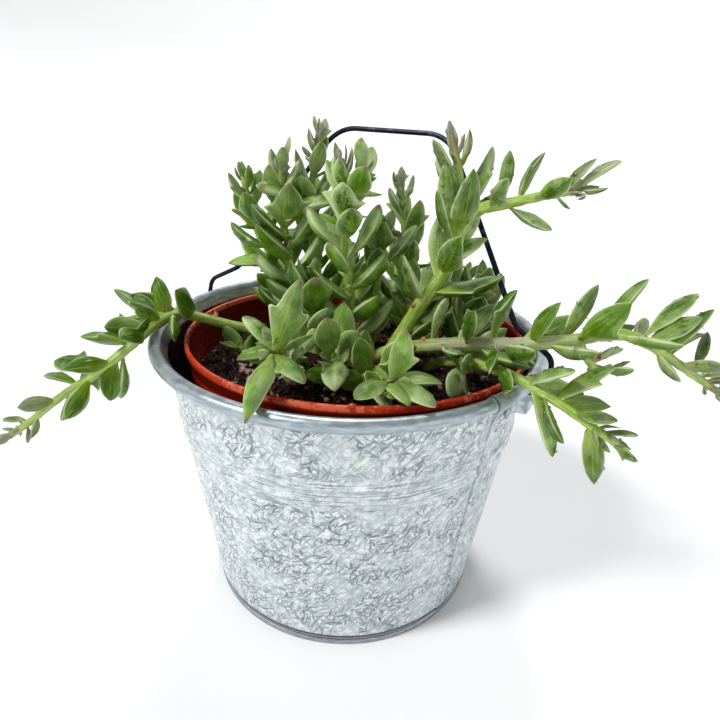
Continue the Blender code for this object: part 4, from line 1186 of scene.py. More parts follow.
def shoot_finish(look):
    """Green stems, woody and brown low down, with purple streaks."""
    paint = Paint("shoot_skin", subsurface_weight=0.08, subsurface_radius=(0.5, 1.0, 0.2),
                  subsurface_scale=2 * MM)
    place = paint.place()
    share, young, x, y = paint.attributes("share", "young", "round_x", "round_y")
    x, y = x * 2.4, y * 2.4
    broad, fine = paint.noise(place, 130.0, 2.0), paint.noise(place, 420.0, 4.0, 0.65)
    strands = paint.noise(paint.vector(x, y, share * 8.0), 1.7, 4.0, 0.65)
    skin = paint.blend(paint.ramp(strands + fine * 0.3, 0.5, 0.8), look.shoot, look.shoot_light)
    streaks = paint.noise(paint.vector(x + 9.0, y, share * 11.0), 1.3, 4.0, 0.7)
    purple = paint.ramp(streaks, 0.62 - young * 0.22, 0.72 - young * 0.22) * (0.25 + young * 0.65)
    skin = paint.blend(paint.least(purple, 0.85), skin, look.purple)
    woody = paint.ramp(share, 0.34, 0.05) * paint.ramp(broad, 0.36, 0.52)
    woody = paint.most(woody, paint.ramp(share, 0.93, 0.99) * (young > 0.35))
    skin = paint.blend(woody * 0.8, skin, look.wood)
    paint.relief(strands + fine * 0.4, 0.5 * MM, 0.7)
    return paint.finish(skin, 0.38 + woody * 0.3)


# Shapes of the pieces

def rib_at(level):
    """How far the two pressed ribs stand out of the wall at a level."""
    proud = 0.0
    for rib in RIB_LEVELS:
        away = abs(level - rib) / RIB_HALF
        if away < 1:
            proud += RIB_PROUD * (0.5 + 0.5 * math.cos(math.pi * away))
    return proud


def wall_levels(low, high):
    """Levels up the wall, closer together on the ribs."""
    levels = list(np.arange(low, high, WALL_STEP)) + [high]
    for rib in RIB_LEVELS:
        levels += list(np.linspace(rib - RIB_HALF, rib + RIB_HALF, RIB_STEPS))
    levels.sort()
    kept = [levels[0]]
    for level in levels[1:]:
        if level - kept[-1] > 0.15 * MM:
            kept.append(float(level))
    return kept


def shell_profile():
    """The bucket wall's section: foot band, ribbed wall, rolled rim, and back down the inside."""
    foot_inside = FOOT_RADIUS - FOOT_WIDTH
    points = [
        (foot_inside, 0), (FOOT_RADIUS - 0.5 * MM, 0), (FOOT_RADIUS - 0.15 * MM, 0.12 * MM),
        (FOOT_RADIUS, 0.45 * MM), (FOOT_RADIUS, 1.6 * MM), (FOOT_RADIUS - 0.15 * MM, 1.95 * MM),
        (FOOT_RADIUS - 0.6 * MM, 2.15 * MM), (FOOT_RADIUS - 0.65 * MM, 2.5 * MM),
        (wall_radius(2.9 * MM) - 0.15 * MM, 2.8 * MM),
    ]
    for level in wall_levels(*WALL_ENDS):
        points.append((wall_radius(level) + rib_at(level), level))
    for degrees in range(-150, 181, 11):
        x, y, _ = polar(RIM_BEAD, math.radians(degrees))
        points.append((RIM_RADIUS - RIM_BEAD + x, RIM_LEVEL + y))
    seat = FOOT_HEIGHT + 0.1 * MM
    for level in reversed(wall_levels(seat, RIM_LEVEL - RIM_BEAD)):
        points.append((wall_radius(level) + 0.8 * rib_at(level) - WALL, level))
    return points + [(foot_inside, seat), points[0]]


def press_seam(obj):
    """Raises the wall's lap seam, and the thicker lap of the rolled rim next to it."""
    bead = RIM_RADIUS - RIM_BEAD
    for vertex in obj.data.vertices:
        x, y, level = vertex.co
        radius = math.hypot(x, y)
        off = math.remainder(math.atan2(y, x) - SEAM_ANGLE, math.tau) * radius
        outside = radius > wall_radius(level) - 0.5 * WALL
        if outside and SEAM_ENDS[0] < level < SEAM_ENDS[1]:
            edge = (SEAM_HALF + SEAM_EDGE - abs(off)) / SEAM_EDGE
            if edge > 0:
                vertex.co.xy *= (radius + SEAM_PROUD * min(1, edge)) / radius
        off += LAP_BEFORE * radius
        if level > LAP_LEVEL and radius > bead - 1.01 * RIM_BEAD and -LAP_RISE < off < LAP_LENGTH:
            rise = min(1, (off + LAP_RISE) / LAP_RISE) * (1 - max(0, off / LAP_LENGTH)) ** 0.5
            out, up = radius - bead, level - RIM_LEVEL
            grow = 1 + LAP_PROUD * rise / RIM_BEAD
            vertex.co.xy *= (bead + out * grow) / radius
            vertex.co.z = RIM_LEVEL + up * grow


def fine_base_profile():
    """The pressed bottom: a flat disc with one shallow ring."""
    low = FOOT_HEIGHT + 0.1 * MM + GAP
    edge = wall_radius(low) - WALL - GAP - 0.1 * MM
    ring = [(0, 0), (30, 0), (31.5, 0.35), (33, 0.35), (34.5, 0), (edge / MM - 0.3, 0)]
    top = low + BOTTOM_THICK - 0.3 * MM
    under, over = ([(radius * MM, face + up * MM * 0.6) for radius, up in ring]
                   for face in (low, top))
    return (under + [(edge, low + 0.25 * MM), (edge, low + BOTTOM_THICK - 0.2 * MM)]
            + over[::-1])


def fine_pot_profile():
    """The pot's section: up the outside, over the lip, and down the inside."""
    band, lip = POT_HEIGHT - POT_LIP_HEIGHT, POT_LIP_RADIUS
    outer = [(0, 0), (POT_BASE_RADIUS - 1.2 * MM, 0), (POT_BASE_RADIUS - 0.3 * MM, 0.3 * MM),
             (POT_BASE_RADIUS, 1.2 * MM)]
    outer += [(pot_radius(level), level) for level in np.linspace(6 * MM, band - 0.6 * MM, 12)]
    outer += [(pot_radius(band) + 0.2 * MM, band - 0.1 * MM),
              (POT_BAND_RADIUS - 0.2 * MM, band + 0.5 * MM),
              (POT_BAND_RADIUS + 0.05 * MM, band + 1.2 * MM)]
    outer += [(lip - back * MM, POT_HEIGHT - down * MM) for back, down in LIP_SECTION]
    inner = [(POT_BAND_RADIUS - POT_WALL, band + 0.3 * MM),
             (pot_radius(band) - POT_WALL, band - 1 * MM)]
    for level in np.linspace(band - 6 * MM, 4 * MM, 8):
        inner.append((pot_radius(level) - POT_WALL, level))
    return outer + inner + [(POT_BASE_RADIUS - 3 * MM, POT_WALL), (0, POT_WALL)]


def spun_faces(sides, first, count):
    """Faces between spokes of count points: a fan round the middle, then quads, then a foot."""
    faces = []
    for i in range(sides):
        here, there = first + i * count, first + (i + 1) % sides * count
        faces.append((0, here, there))
        faces += [(here + j, here + j + 1, there + j + 1, there + j) for j in range(count - 1)]
        if first > 1:
            faces.append((1, there + count - 1, here + count - 1))
    return faces


def spun_mesh(name, section, sides):
    """A section of (radius, level) points from the axis outwards, spun round Z."""
    vertices = [Vector((0, 0, section[0][1]))]
    for angle in even_angles(sides):
        vertices += [polar(radius, angle, level) for radius, level in section[1:]]
    mesh = new_mesh(name, vertices, spun_faces(sides, 1, len(section) - 1))
    mesh.shade_smooth()
    return mesh


def facing(outwards):
    """Turns a shape's Z axis to a direction."""
    return outwards.to_track_quat("Z", "Y").to_matrix().to_4x4()


def cutter(centre, axis, radius, length):
    """A round bar that cuts a hole."""
    mesh = bpy.data.meshes.new("cutter")
    with editing(mesh) as work:
        bmesh.ops.create_cone(work, cap_ends=True, segments=32, radius1=radius, radius2=radius,
                              depth=length, matrix=Matrix.Translation(centre) @ facing(axis))
    return new_object("cutter", mesh)


def cut(obj, tools):
    """Cuts the tools from the piece in one Boolean."""
    group = bpy.data.collections.new("tools")
    bpy.context.scene.collection.children.link(group)
    for tool in tools:
        bpy.context.scene.collection.objects.unlink(tool)
        group.objects.link(tool)
    boolean = obj.modifiers.new("Cut", "BOOLEAN")
    boolean.operation, boolean.operand_type, boolean.solver = "DIFFERENCE", "COLLECTION", "EXACT"
    boolean.collection = group
    plain(obj)
    for tool in tools:
        bpy.data.objects.remove(tool)
    bpy.data.collections.remove(group)
    return obj


def ear_plate(name, side):
    """A pressed strip with a raised middle, a hole for the wire, and a rivet through each foot."""
    near, far = GAP, GAP + EAR_SHEET
    inside, outside = EAR_STAND_OFF, EAR_STAND_OFF + EAR_SHEET
    line = []
    for across in np.linspace(-EAR_HALF_WIDTH, EAR_HALF_WIDTH, 57):
        share = min(1, max(0, (EAR_RAISED - abs(across)) / EAR_SLOPE))
        line.append((float(across) * MM, share * share * (3 - 2 * share)))
    outline = [(across, far + (outside - far) * rise) for across, rise in line]
    outline += [(across, near + (inside - near) * rise) for across, rise in reversed(line)]
    count, half = len(outline), len(line)
    vertices = [ear_point(side, across, out, level)
                for level in (PIVOT_LEVEL - EAR_HALF_HEIGHT, PIVOT_LEVEL + EAR_HALF_HEIGHT)
                for across, out in outline]
    faces = []
    for i in range(half - 1):
        strip = (i, i + 1, count - 2 - i, count - 1 - i)
        faces += [strip, tuple(count + k for k in reversed(strip))]
    faces += [((i + 1) % count, i, count + i, count + (i + 1) % count) for i in range(count)]
    ear = turn_outwards(new_object(name, new_mesh(name, vertices, faces)))
    bevel = ear.modifiers.new("Soft edges", "BEVEL")
    bevel.width, bevel.segments, bevel.limit_method = 0.22 * MM, 2, "ANGLE"
    plain(ear)
    centre = ear_point(side, 0, EAR_STAND_OFF, PIVOT_LEVEL)
    outwards = Vector((centre.x, centre.y, 0)).normalized()
    cut(ear, [cutter(centre, outwards, EAR_HOLE, 8 * MM)])
    with editing(ear.data) as work:
        for across in (-RIVET_ACROSS, RIVET_ACROSS):
            foot = ear_point(side, across, 0, PIVOT_LEVEL)
            outwards = Vector((foot.x, foot.y, 0)).normalized()
            place = Matrix.Translation(foot + outwards * (far + 0.05 * MM)) @ facing(outwards)
            place = place @ Matrix.Diagonal((RIVET, RIVET, 1.0 * MM, 1))
            bmesh.ops.create_uvsphere(work, u_segments=24, v_segments=12, radius=1, matrix=place)
    ear.data.shade_smooth()
    ear.data.set_sharp_from_angle(angle=math.radians(35))
    return ear


def wire_line():
    """The points and radii of the wire handle, with smooth bends."""
    along, back = handle_axes()
    rise = UP * math.cos(HANDLE_LEAN) + back * math.sin(HANDLE_LEAN)
    ear_inside = wall_radius(PIVOT_LEVEL) + EAR_STAND_OFF
    head_in, head_out = ear_inside - 2.1 * MM, ear_inside - 0.9 * MM
    half = [Vector((head_out, 0))] + handle_corners()
    flat = half + [Vector((-corner.x, corner.y)) for corner in reversed(half)]
    corners = [along * corner.x + rise * corner.y for corner in flat]
    wire = rounded_path(corners, HANDLE_BENDS + HANDLE_BENDS[::-1], steps=10)
    head = [along * head_in, along * (head_in + 0.1 * MM), along * (head_out - 0.12 * MM),
            along * (head_out - 0.02 * MM)]
    path = head + wire + [-point for point in reversed(head)]
    radii = [1.85 * WIRE, 2 * WIRE, 2 * WIRE, 1.85 * WIRE]
    radii = radii + [WIRE] * len(wire) + radii
    return [point + UP * PIVOT_LEVEL for point in path], radii


def mound_mesh():
    """The potting mix: a low uneven mound that fills the pot."""
    edge, low = POT_NECK_RADIUS - POT_WALL - GAP, POT_WALL + GAP
    foot = pot_radius(low) - POT_WALL - 0.6 * MM - GAP
    top, place = POT_HEIGHT - SOIL_BELOW_LIP, pot_place()
    vertices = [Vector((0, 0, top + SOIL_MOUND)), Vector((0, 0, low))]
    for angle in even_angles(MOUND_SIDES):
        for ring in range(1, MOUND_RINGS + 1):
            radius = edge * ring / MOUND_RINGS
            point = polar(radius, angle)
            share = radius / POT_LIP_RADIUS
            lumps = noise.noise(point * 90) * 1.4 + noise.noise(point * 330) * 0.7
            point.z = top + SOIL_MOUND * (1 - share * share) + lumps * MM
            vertices.append(point)
        vertices.append(polar(foot, angle, low))
    count = MOUND_RINGS + 1
    mesh = new_mesh("mound", [place @ v for v in vertices], spun_faces(MOUND_SIDES, 2, count))
    bed = [i == 0 or i > 1 and (i - 2) % count < count - 2 for i in range(len(vertices))]
    add_attribute(mesh, "bed", "FLOAT", bed)
    return mesh


def lump(seed, size, level=1):
    """A small uneven lump."""
    draw, mesh = random.Random(seed), bpy.data.meshes.new("lump")
    with editing(mesh) as work:
        bmesh.ops.create_icosphere(work, subdivisions=level, radius=1)
        for vertex in work.verts:
            vertex.co *= draw.uniform(0.65, 1.1)
            vertex.co = Vector([at * long for at, long in zip(vertex.co, size)])
    return mesh


def dry_flake(draw):
    """A curled scrap of a dead leaf."""
    long, wide = draw.uniform(1.8, 4.4) * MM, draw.uniform(0.7, 1.5) * MM
    bend, mesh = draw.uniform(0.8, 2.6), bpy.data.meshes.new("flake")
    with editing(mesh) as work:
        bmesh.ops.create_grid(work, x_segments=7, y_segments=3, size=1)
        for vertex in work.verts:
            x, y, _ = vertex.co
            ragged = 1 + 0.5 * noise.noise(Vector((x * 2, y, long * 5000)))
            turn = x * bend
            vertex.co = Vector((math.sin(turn) / bend * long,
                                y * wide * ragged * (1.15 - abs(x)),
                                (1 - math.cos(turn)) / bend * long + y * x * wide * 0.8))
        bmesh.ops.recalc_face_normals(work, faces=work.faces)
        bmesh.ops.solidify(work, geom=list(work.faces), thickness=0.2 * MM)
    mesh.shade_smooth()
    return mesh


def joined(name, meshes, material, slot):
    """Many small meshes as one piece."""
    whole = bpy.data.meshes.new(name)
    with editing(whole) as work:
        for mesh in meshes:
            work.from_mesh(mesh)
    whole.shade_smooth()
    whole.materials.append(material)
    settle(new_object(name, whole), SHELL, slot)


def moved_to(point, turn=0.0, size=(1, 1, 1)):
    """Sizes a shape, turns it round Z and puts it at a point."""
    return (Matrix.Translation(point) @ Matrix.Rotation(turn, 4, "Z")
            @ Matrix.Diagonal((*size, 1)))


def on_mix(x, y):
    """The point of the potting mix's surface at x, y."""
    mesh = bpy.data.objects["mix_mound"].data
    tree = BVHTree.FromPolygons([v.co for v in mesh.vertices], [f.vertices for f in mesh.polygons])
    return tree.ray_cast(Vector((x, y, 0.12)), -UP)[0]


def outline_at(share):
    """A leaf's width along it, as a share of its widest."""
    for (a, low), (b, high) in zip(LEAF_OUTLINE, LEAF_OUTLINE[1:]):
        if share <= b:
            t = (share - a) / (b - a)
            return low + (high - low) * t
    return LEAF_OUTLINE[-1][1]


def leaf_shape(fins, widest, sway, lopsided):
    """One leaf, a unit long and half a unit wide: keeled below, flatter and grooved above."""
    vertices, facts = [], []
    for share in LEAF_STATIONS:
        width = outline_at(share ** (math.log(0.5) / math.log(widest)))
        bump = math.exp(-((share - FIN_PEAK) / FIN_WIDTH) ** 2)
        drift = sway * (share * share - 0.5 * share) * 2
        for angle in even_angles(LEAF_AROUND):
            c, s = math.cos(angle), math.sin(angle)
            x = math.copysign(abs(c) ** 0.85, c)
            if s > 0:
                y = LEAF_FLAT * (1 - abs(x) ** 2.2) - LEAF_GROOVE * math.exp(-(x / 0.3) ** 2)
            else:
                keel = x - lopsided * (1 - x * x)
                y = -1.04 * (1 - min(1, abs(keel)) ** 1.3)
            reach = abs(x) * (bump if fins > (0 if c > 0 else 1) else 0.0)
            vertices.append((x * width * (1 + FIN_OUT * reach) + drift,
                             y * width ** 0.8 * (1 - 0.3 * reach), share + FIN_HOOK * reach))
            facts.append((share, x, s > 0.05))
    mesh = new_mesh("leaf", vertices, ring_faces(len(LEAF_STATIONS), LEAF_AROUND))
    for name, values in zip(("along", "side", "top"), zip(*facts)):
        add_attribute(mesh, name, "FLOAT", values)
    mesh.shade_smooth()
    return mesh


def tip_leaves(route, length, draw):
    """The small unopened leaves that crowd the end of a shoot."""
    found = []
    turn = draw.uniform(0, math.tau)
    for i in range(TIP_LEAVES):
        back = (0.6 + 1.1 * i) * MM
        start, tangent, _ = route.at(route.length - back)
        level = tangent.orthogonal().normalized()
        outward = level * math.cos(turn) + tangent.cross(level) * math.sin(turn)
        spread = math.radians(10 + 6 * i)
        point = (tangent * math.cos(spread) + outward * math.sin(spread)).normalized()
        across = point.cross(outward).normalized()
        size = length * draw.uniform(0.22, 0.4) * (0.8 + 0.05 * i)
        found.append(Leaf(start, point, across, size, size * 0.32, 0, draw.uniform(-0.1, 0.4)))
        turn += GOLDEN_ANGLE
    return found


def stem_mesh(name, shoots, routes, leaves):
    """The lines and leaf points that the leafy tree reads."""
    draw = random.Random(name + " finish")
    points, edges = [], []
    trailing = "right" in name or name == "stem_left"
    tinge, (slim, plump) = TINGE.get(name, 0.25), BUILD.get(name, (1.03, 1.25))
    tints = (0.0, 0.22) if trailing else (0.15, 1.0)
    roots = [leaf.root for leaf in leaves]
    for number, (shoot, route) in enumerate(zip(shoots, routes)):
        curve, first = smooth_route(shoot["route"], CURVE_STEP), number == 0
        length, gone = run_length(curve), 0.0
        for i, point in enumerate(curve):
            gone += (point - curve[i - 1]).length if i else 0.0
            share = gone / length
            thick = route.thick[0] + (route.thick[1] - route.thick[0]) * share
            nearest = min((root - point).length for root in roots)
            thick *= 1 + 0.16 * math.exp(-(nearest / (1.4 * MM)) ** 2)
            if i == len(curve) - 1:
                thick *= TIP_TAPER
            if i:
                edges.append((len(points) - 1, len(points)))
            worn = WORN.get(name, 0.0) * math.exp(-((share - 0.4) / 0.16) ** 2) if first else 0.0
            points.append(dict(POINT, root=point, thick=thick,
                               share=share if first else 0.3 + 0.7 * share,
                               young=min(1.0, tinge * share + worn)))
    tips = [(leaf, 0.5) for leaf in leaves]
    for leaf in leaves if not trailing else ():
        if draw.random() < AXIL_SHARE:
            face = leaf.point.cross(leaf.across)
            turn = math.radians(draw.choice((-1, 1)) * draw.uniform(35, 75))
            point = leaf.point * math.cos(turn) + leaf.across * math.sin(turn)
            point = (point + face * draw.uniform(0, 0.5)).normalized()
            across = point.cross(face).normalized()
            size = leaf.length * draw.uniform(0.36, 0.56)
            tips.append((Leaf(leaf.root, point, across, size, size * 0.24, draw.choice((0, 0, 1)),
                              draw.uniform(-0.1, 0.3)), 0.7))
    for shoot, route in zip(shoots, routes):
        tips += [(leaf, 1.0) for leaf in tip_leaves(route, shoot["leaf"] * MM, draw)]
    ends = [(route.points[-1], route.length) for route in routes]
    for leaf, kind in tips:
        end, length = min(ends, key=lambda one: (one[0] - leaf.root).length)
        near = max(0.0, 1 - (end - leaf.root).length / (0.45 * length))
        young = tinge * (near ** 1.5 if kind < 1 else 0.8 + 0.4 * draw.random())
        points.append(dict(
            POINT, root=leaf.root, leaf=1.0, arch=leaf.arch * leaf.length,
            twist=draw.uniform(-0.5, 0.5), tint=draw.uniform(*tints), young=min(1.0, young),
            kind=draw.choice(FORMS_WITH[leaf.fins]),
            bloom=min(1.0, BLOOM.get(name, 0.2) * draw.uniform(0.1, 2.3)),
            toward=leaf.point, across=leaf.across,
            size=(leaf.half_width * draw.uniform(0.98, 1.12) * slim,
                  leaf.half_width * LEAF_THICK_SHARE * plump, leaf.length)))
    mesh = new_mesh(name, [point["root"] for point in points], edges=edges)
    for key, default in POINT.items():
        kind = {float: "FLOAT", int: "INT"}.get(type(default), "FLOAT_VECTOR")
        add_attribute(mesh, key, kind, [point[key] for point in points])
    return mesh


# Sizes and colours that a user would change

def colour(name, text, value):
    return FloatVectorProperty(name=name, description=text, subtype="COLOR", default=value, min=0,
                               max=1)


class BucketLook(PropertyGroup):
    sides: IntProperty(name="Sides", description="Columns round the wall", default=360, min=60)
    wobble: FloatProperty(name="Wobble", description="How uneven the sheet is", default=0.25 * MM,
                          unit="LENGTH")
    fleck_size: FloatProperty(name="Fleck size", description="Size of a crystal of the zinc",
                              default=3.2 * MM, unit="LENGTH")
    pale: colour("Pale zinc", "The light ground between the flecks", (0.79, 0.83, 0.83))
    cool: colour("Cool zinc", "The ground's cooler patches", (0.46, 0.53, 0.56))
    fleck: colour("Fleck", "The darker crystals", (0.16, 0.19, 0.215))
    # Painted shade: the dark line in the groove above the foot band, also drawn at the rim's lap
    groove_shade: colour("Groove", "The dark line above the foot band", (0.02, 0.025, 0.035))
    # Painted shade, with a painted reddish reflection of the pot, for the bare sheet inside the
    # bucket
    inside: colour("Inside", "The bare sheet inside", (0.12, 0.065, 0.06))
    rim: colour("Rim", "The rolled rim and the foot band", (0.26, 0.31, 0.34))
    rim_light: colour("Rim highlights", "Lighter streaks of the rim", (0.45, 0.51, 0.55))
    wire: colour("Wire", "The blackened wire", (0.012, 0.016, 0.03))
    worn: colour("Worn wire", "Where the wire is rubbed", (0.07, 0.085, 0.11))


class PotLook(PropertyGroup):
    sides: IntProperty(name="Sides", description="Columns round the pot", default=180, min=40)
    terracotta: colour("Terracotta", "The plastic", (0.38, 0.024, 0.004))
    faded: colour("Faded", "Lighter patches of the plastic", (0.5, 0.05, 0.01))
    # Painted shade: the darker colour drawn on the inside of the pot
    wet: colour("Wet inside", "The darker, wetter inside", (0.11, 0.004, 0.003))
    # The moulding flash, drawn lighter as a painted highlight along the lip's top edge
    flash_and_highlight: colour("Flash", "The ragged edge that moulding left on the lip", (0.7, 0.15, 0.08))
    dust: colour("Dust", "Dried smears", (0.42, 0.12, 0.05))


class MixLook(PropertyGroup):
    density: FloatProperty(name="Crumbs", description="Crumbs on a square metre", default=210000.0)
    perlite_density: FloatProperty(name="Perlite", description="Grains on a square metre",
                                   default=4200.0)
    seed: IntProperty(name="Seed", description="Where the crumbs fall", default=5)
    peat: colour("Peat", "The darkest crumbs", (0.004, 0.0022, 0.002))
    bark: colour("Bark", "The brown crumbs", (0.045, 0.017, 0.013))
    chip: colour("Chips", "The few pale chips", (0.33, 0.22, 0.16))
    perlite: colour("Perlite", "The white grains", (0.62, 0.57, 0.52))
    perlite_shade: colour("Perlite shade", "The pores of the grains", (0.3, 0.24, 0.2))


class PlantLook(PropertyGroup):
    shoot_sides: IntProperty(name="Shoot sides", description="Columns round a shoot", default=15,
                             min=5)
    ridge: FloatProperty(name="Ridges", description="How ridged the shoots are", default=0.05)
    crinkle: FloatProperty(name="Crinkle", description="How uneven a leaf is", default=1.3 * MM,
                           unit="LENGTH")
    drops: FloatProperty(name="Drops", description="Drops on a square metre of wet leaf",
                         default=42000.0)
    green_deep: colour("Deep green", "The darkest leaves", (0.02, 0.07, 0.001))
    green_mid: colour("Green", "The lighter leaves", (0.13, 0.33, 0.002))
    green_light: colour("Light green", "Strands of lighter green", (0.26, 0.47, 0.01))
    green_base: colour("Leaf base", "The yellow-green foot of a leaf", (0.42, 0.58, 0.02))
    # Also the colour of the painted highlights on the leaves' upper sides and edges
    bloom: colour("Bloom", "The grey powder on the skin", (0.57, 0.69, 0.36))
    purple: colour("Purple", "The tinge of young growth", (0.38, 0.31, 0.31))
    tip: colour("Tip", "The withered point", (0.22, 0.13, 0.09))
    shoot: colour("Shoot", "The stems", (0.2, 0.34, 0.015))
    shoot_light: colour("Light shoot", "Lighter streaks of the stems", (0.48, 0.62, 0.16))
    wood: colour("Wood", "Old brown bark low on the stems", (0.2, 0.1, 0.05))
    dry: colour("Dry leaf", "The dead scraps", (0.2, 0.075, 0.025))
    dry_light: colour("Light dry leaf", "Paler fibres of the dead scraps", (0.5, 0.27, 0.11))


class StageLook(PropertyGroup):
    floor: colour("Floor", "The floor", (0.92, 0.93, 0.94))
    world: FloatProperty(name="Sky light", description="Strength of the light from all round",
                         default=0.3)
    key: FloatProperty(name="Key light", description="Strength of the main lamp", default=2.45)


LOOKS = {"potted_bucket": BucketLook, "potted_pot": PotLook, "potted_mix": MixLook,
         "potted_plant": PlantLook, "potted_stage": StageLook}


class POTTED_OT_bucket(Operator):
    """Makes the bucket's ribbed wall with its rolled rim, and its pressed bottom"""

    bl_idname = "potted.bucket"
    bl_label = "Bucket"

    def execute(self, context):
        look = context.scene.potted_bucket
        zinc, tree = zinc_finish(look), turned_tree()
        shell = turned_piece("bucket_shell", shell_profile(), tree, sides=look.sides,
                             start=SEAM_ANGLE, crowding=SEAM_CROWDING, wobble=look.wobble,
                             material=zinc)
        press_seam(shell)
        settle(shell, SHELL, "zinc", "bucket_wall")
        base = turned_piece("bucket_base", fine_base_profile(), tree, sides=120, material=zinc)
        settle(base, SHELL, "zinc", "bucket_bottom")
        return {"FINISHED"}


class POTTED_OT_ears(Operator):
    """Makes the two riveted ears that hold the wire"""

    bl_idname = "potted.ears"
    bl_label = "Ears"

    def execute(self, context):
        look = context.scene.potted_bucket
        paint = Paint("ear_zinc")
        place = paint.place()
        patches = paint.ramp(paint.noise(place, 420.0, 3.0), 0.42, 0.6)
        paint.relief(paint.noise(place, 900.0, 2.0), 0.1 * MM, 0.4)
        zinc = paint.finish(paint.blend(patches, look.cool, look.rim), 0.38, 0.7)
        for node, side in (("ear_right", 0), ("ear_left", 1)):
            ear = ear_plate(f"{node}_plate", side)
            ear.data.materials.append(zinc)
            settle(ear, SHELL, "zinc", node)
        return {"FINISHED"}


class POTTED_OT_handle(Operator):
    """Makes the bent wire handle, which swings between the ears"""

    bl_idname = "potted.handle"
    bl_label = "Wire handle"

    def execute(self, context):
        points, radii = wire_line()
        line = new_mesh("wire", points, edges=[(i, i + 1) for i in range(len(points) - 1)])
        add_attribute(line, "thick", "FLOAT", radii)
        wire = grown("wire_handle", line, wire_tree(), sides=20, ridge=0.0,
                     material=wire_finish(context.scene.potted_bucket))
        settle(turn_outwards(wire), WIRE_BODY, "dark_wire", "handle")
        return {"FINISHED"}


class POTTED_OT_pot(Operator):
    """Makes the nursery pot with its lip, its moulding nubs and its drain holes"""

    bl_idname = "potted.pot"
    bl_label = "Nursery pot"

    def execute(self, context):
        look = context.scene.potted_pot
        plastic = terracotta_finish(look)
        pot = turned_piece("pot_shell", fine_pot_profile(), turned_tree(), sides=look.sides,
                           wobble=0.5 * MM, material=plastic)
        place = pot_place()
        pot.data.transform(place)
        drains = []
        for angle in even_angles(6):
            centre = place @ (polar(1, angle) * DRAIN_CIRCLE)
            drains.append(cutter(centre, place.to_3x3() @ UP, DRAIN_RADIUS, 6 * MM))
        cut(pot, drains)
        pot.data.shade_smooth()
        pot.data.set_sharp_from_angle(angle=math.radians(40))
        settle(pot, SHELL, "terracotta_plastic", "nursery_pot")
        nubs = []
        for i, degrees in enumerate(LIP_NUBS):
            angle = math.radians(degrees)
            on_lip = polar(1, angle) * (POT_LIP_RADIUS - 0.7 * MM) + UP * POT_HEIGHT
            mesh = lump(i + 60, (1.5 * MM, 1.0 * MM, 0.9 * MM), 2)
            mesh.transform(place @ moved_to(on_lip, angle + math.pi / 2))
            nubs.append(mesh)
        joined("lip_nubs", nubs, plastic, "terracotta_plastic")
        return {"FINISHED"}


class POTTED_OT_mix(Operator):
    """Fills the pot with crumbly potting mix and a little perlite"""

    bl_idname = "potted.mix"
    bl_label = "Potting mix"

    def execute(self, context):
        look = context.scene.potted_mix
        mound = turn_outwards(new_object("mix_mound", mound_mesh()))
        mound.data.materials.append(mix_finish(look))
        mound.data.shade_smooth()
        settle(mound, SHELL, "potting_mix", "potting_mix")
        tree = scattered_tree("Scattered crumbs", False)
        shapes = [lump(i, (1.0, 1.0, 0.8)) for i in range(5)]
        shapes += [lump(i, (1.7, 0.6, 0.45)) for i in range(5, 7)]
        crumbs = grown("mix_crumbs", mound.data.copy(), tree, shapes=shape_set("crumb", shapes),
                       count=len(shapes), density=look.density, smallest=0.5 * MM, largest=1.7 * MM,
                       sink=0.0, seed=look.seed, material=crumb_finish(look))
        settle(crumbs, SHELL, "potting_mix")
        grains = [lump(i, (1.0, 0.85, 0.8), 2) for i in range(10, 13)]
        perlite = grown("perlite", mound.data.copy(), tree, shapes=shape_set("grain", grains),
                        count=len(grains), density=look.perlite_density, smallest=0.9 * MM,
                        largest=2.1 * MM, sink=-0.6 * MM, seed=look.seed + 9,
                        material=perlite_finish(look))
        settle(perlite, SHELL, "potting_mix")
        draw, chips = random.Random("chips"), []
        for i in range(14):
            chip = lump(i + 30, (draw.uniform(1.2, 2.6) * MM, 0.9 * MM, 0.6 * MM))
            x, y = (middle + draw.uniform(-5, 5) * MM for middle in PALE_CHIPS)
            place = on_mix(x, y) + UP * draw.uniform(0.3, 1.2) * MM
            chip.transform(moved_to(place, draw.uniform(0, math.pi)))
            chips.append(chip)
        paint = Paint("pale_chips")
        tone = paint.blend(paint.noise(paint.place(), 700.0, 3.0), look.perlite_shade, look.chip)
        joined("pale_chips", chips, paint.finish(tone, 0.9), "potting_mix")
        return {"FINISHED"}


class POTTED_OT_plant(Operator):
    """Grows the leafy stems on their routes, with every leaf where the solids have it"""

    bl_idname = "potted.plant"
    bl_label = "Leafy stems"

    def execute(self, context):
        look = context.scene.potted_plant
        routes = {name: [Route(shoot) for shoot in shoots] for name, shoots in STEMS.items()}
        clearance = Clearance({name: [shoot_tube(route) for route in many]
                               for name, many in routes.items()})
        tree = leafy_tree()
        shapes = shape_set("leaf_shape", [leaf_shape(*form) for form in LEAF_FORMS])
        leaf_skin, shoot_skin = leaf_finish(look), shoot_finish(look)
        for name, shoots in STEMS.items():
            leaves = leaves_of(name, shoots, routes[name], clearance)
            mesh = stem_mesh(name, shoots, routes[name], leaves)
            stem = grown(name.replace("stem", "leafy"), mesh, tree, sides=look.shoot_sides,
                         ridge=look.ridge, shapes=shapes, crinkle=look.crinkle,
                         shoot_material=shoot_skin, leaf_material=leaf_skin)
            settle(stem, SHELL, "succulent_green", name)
        return {"FINISHED"}


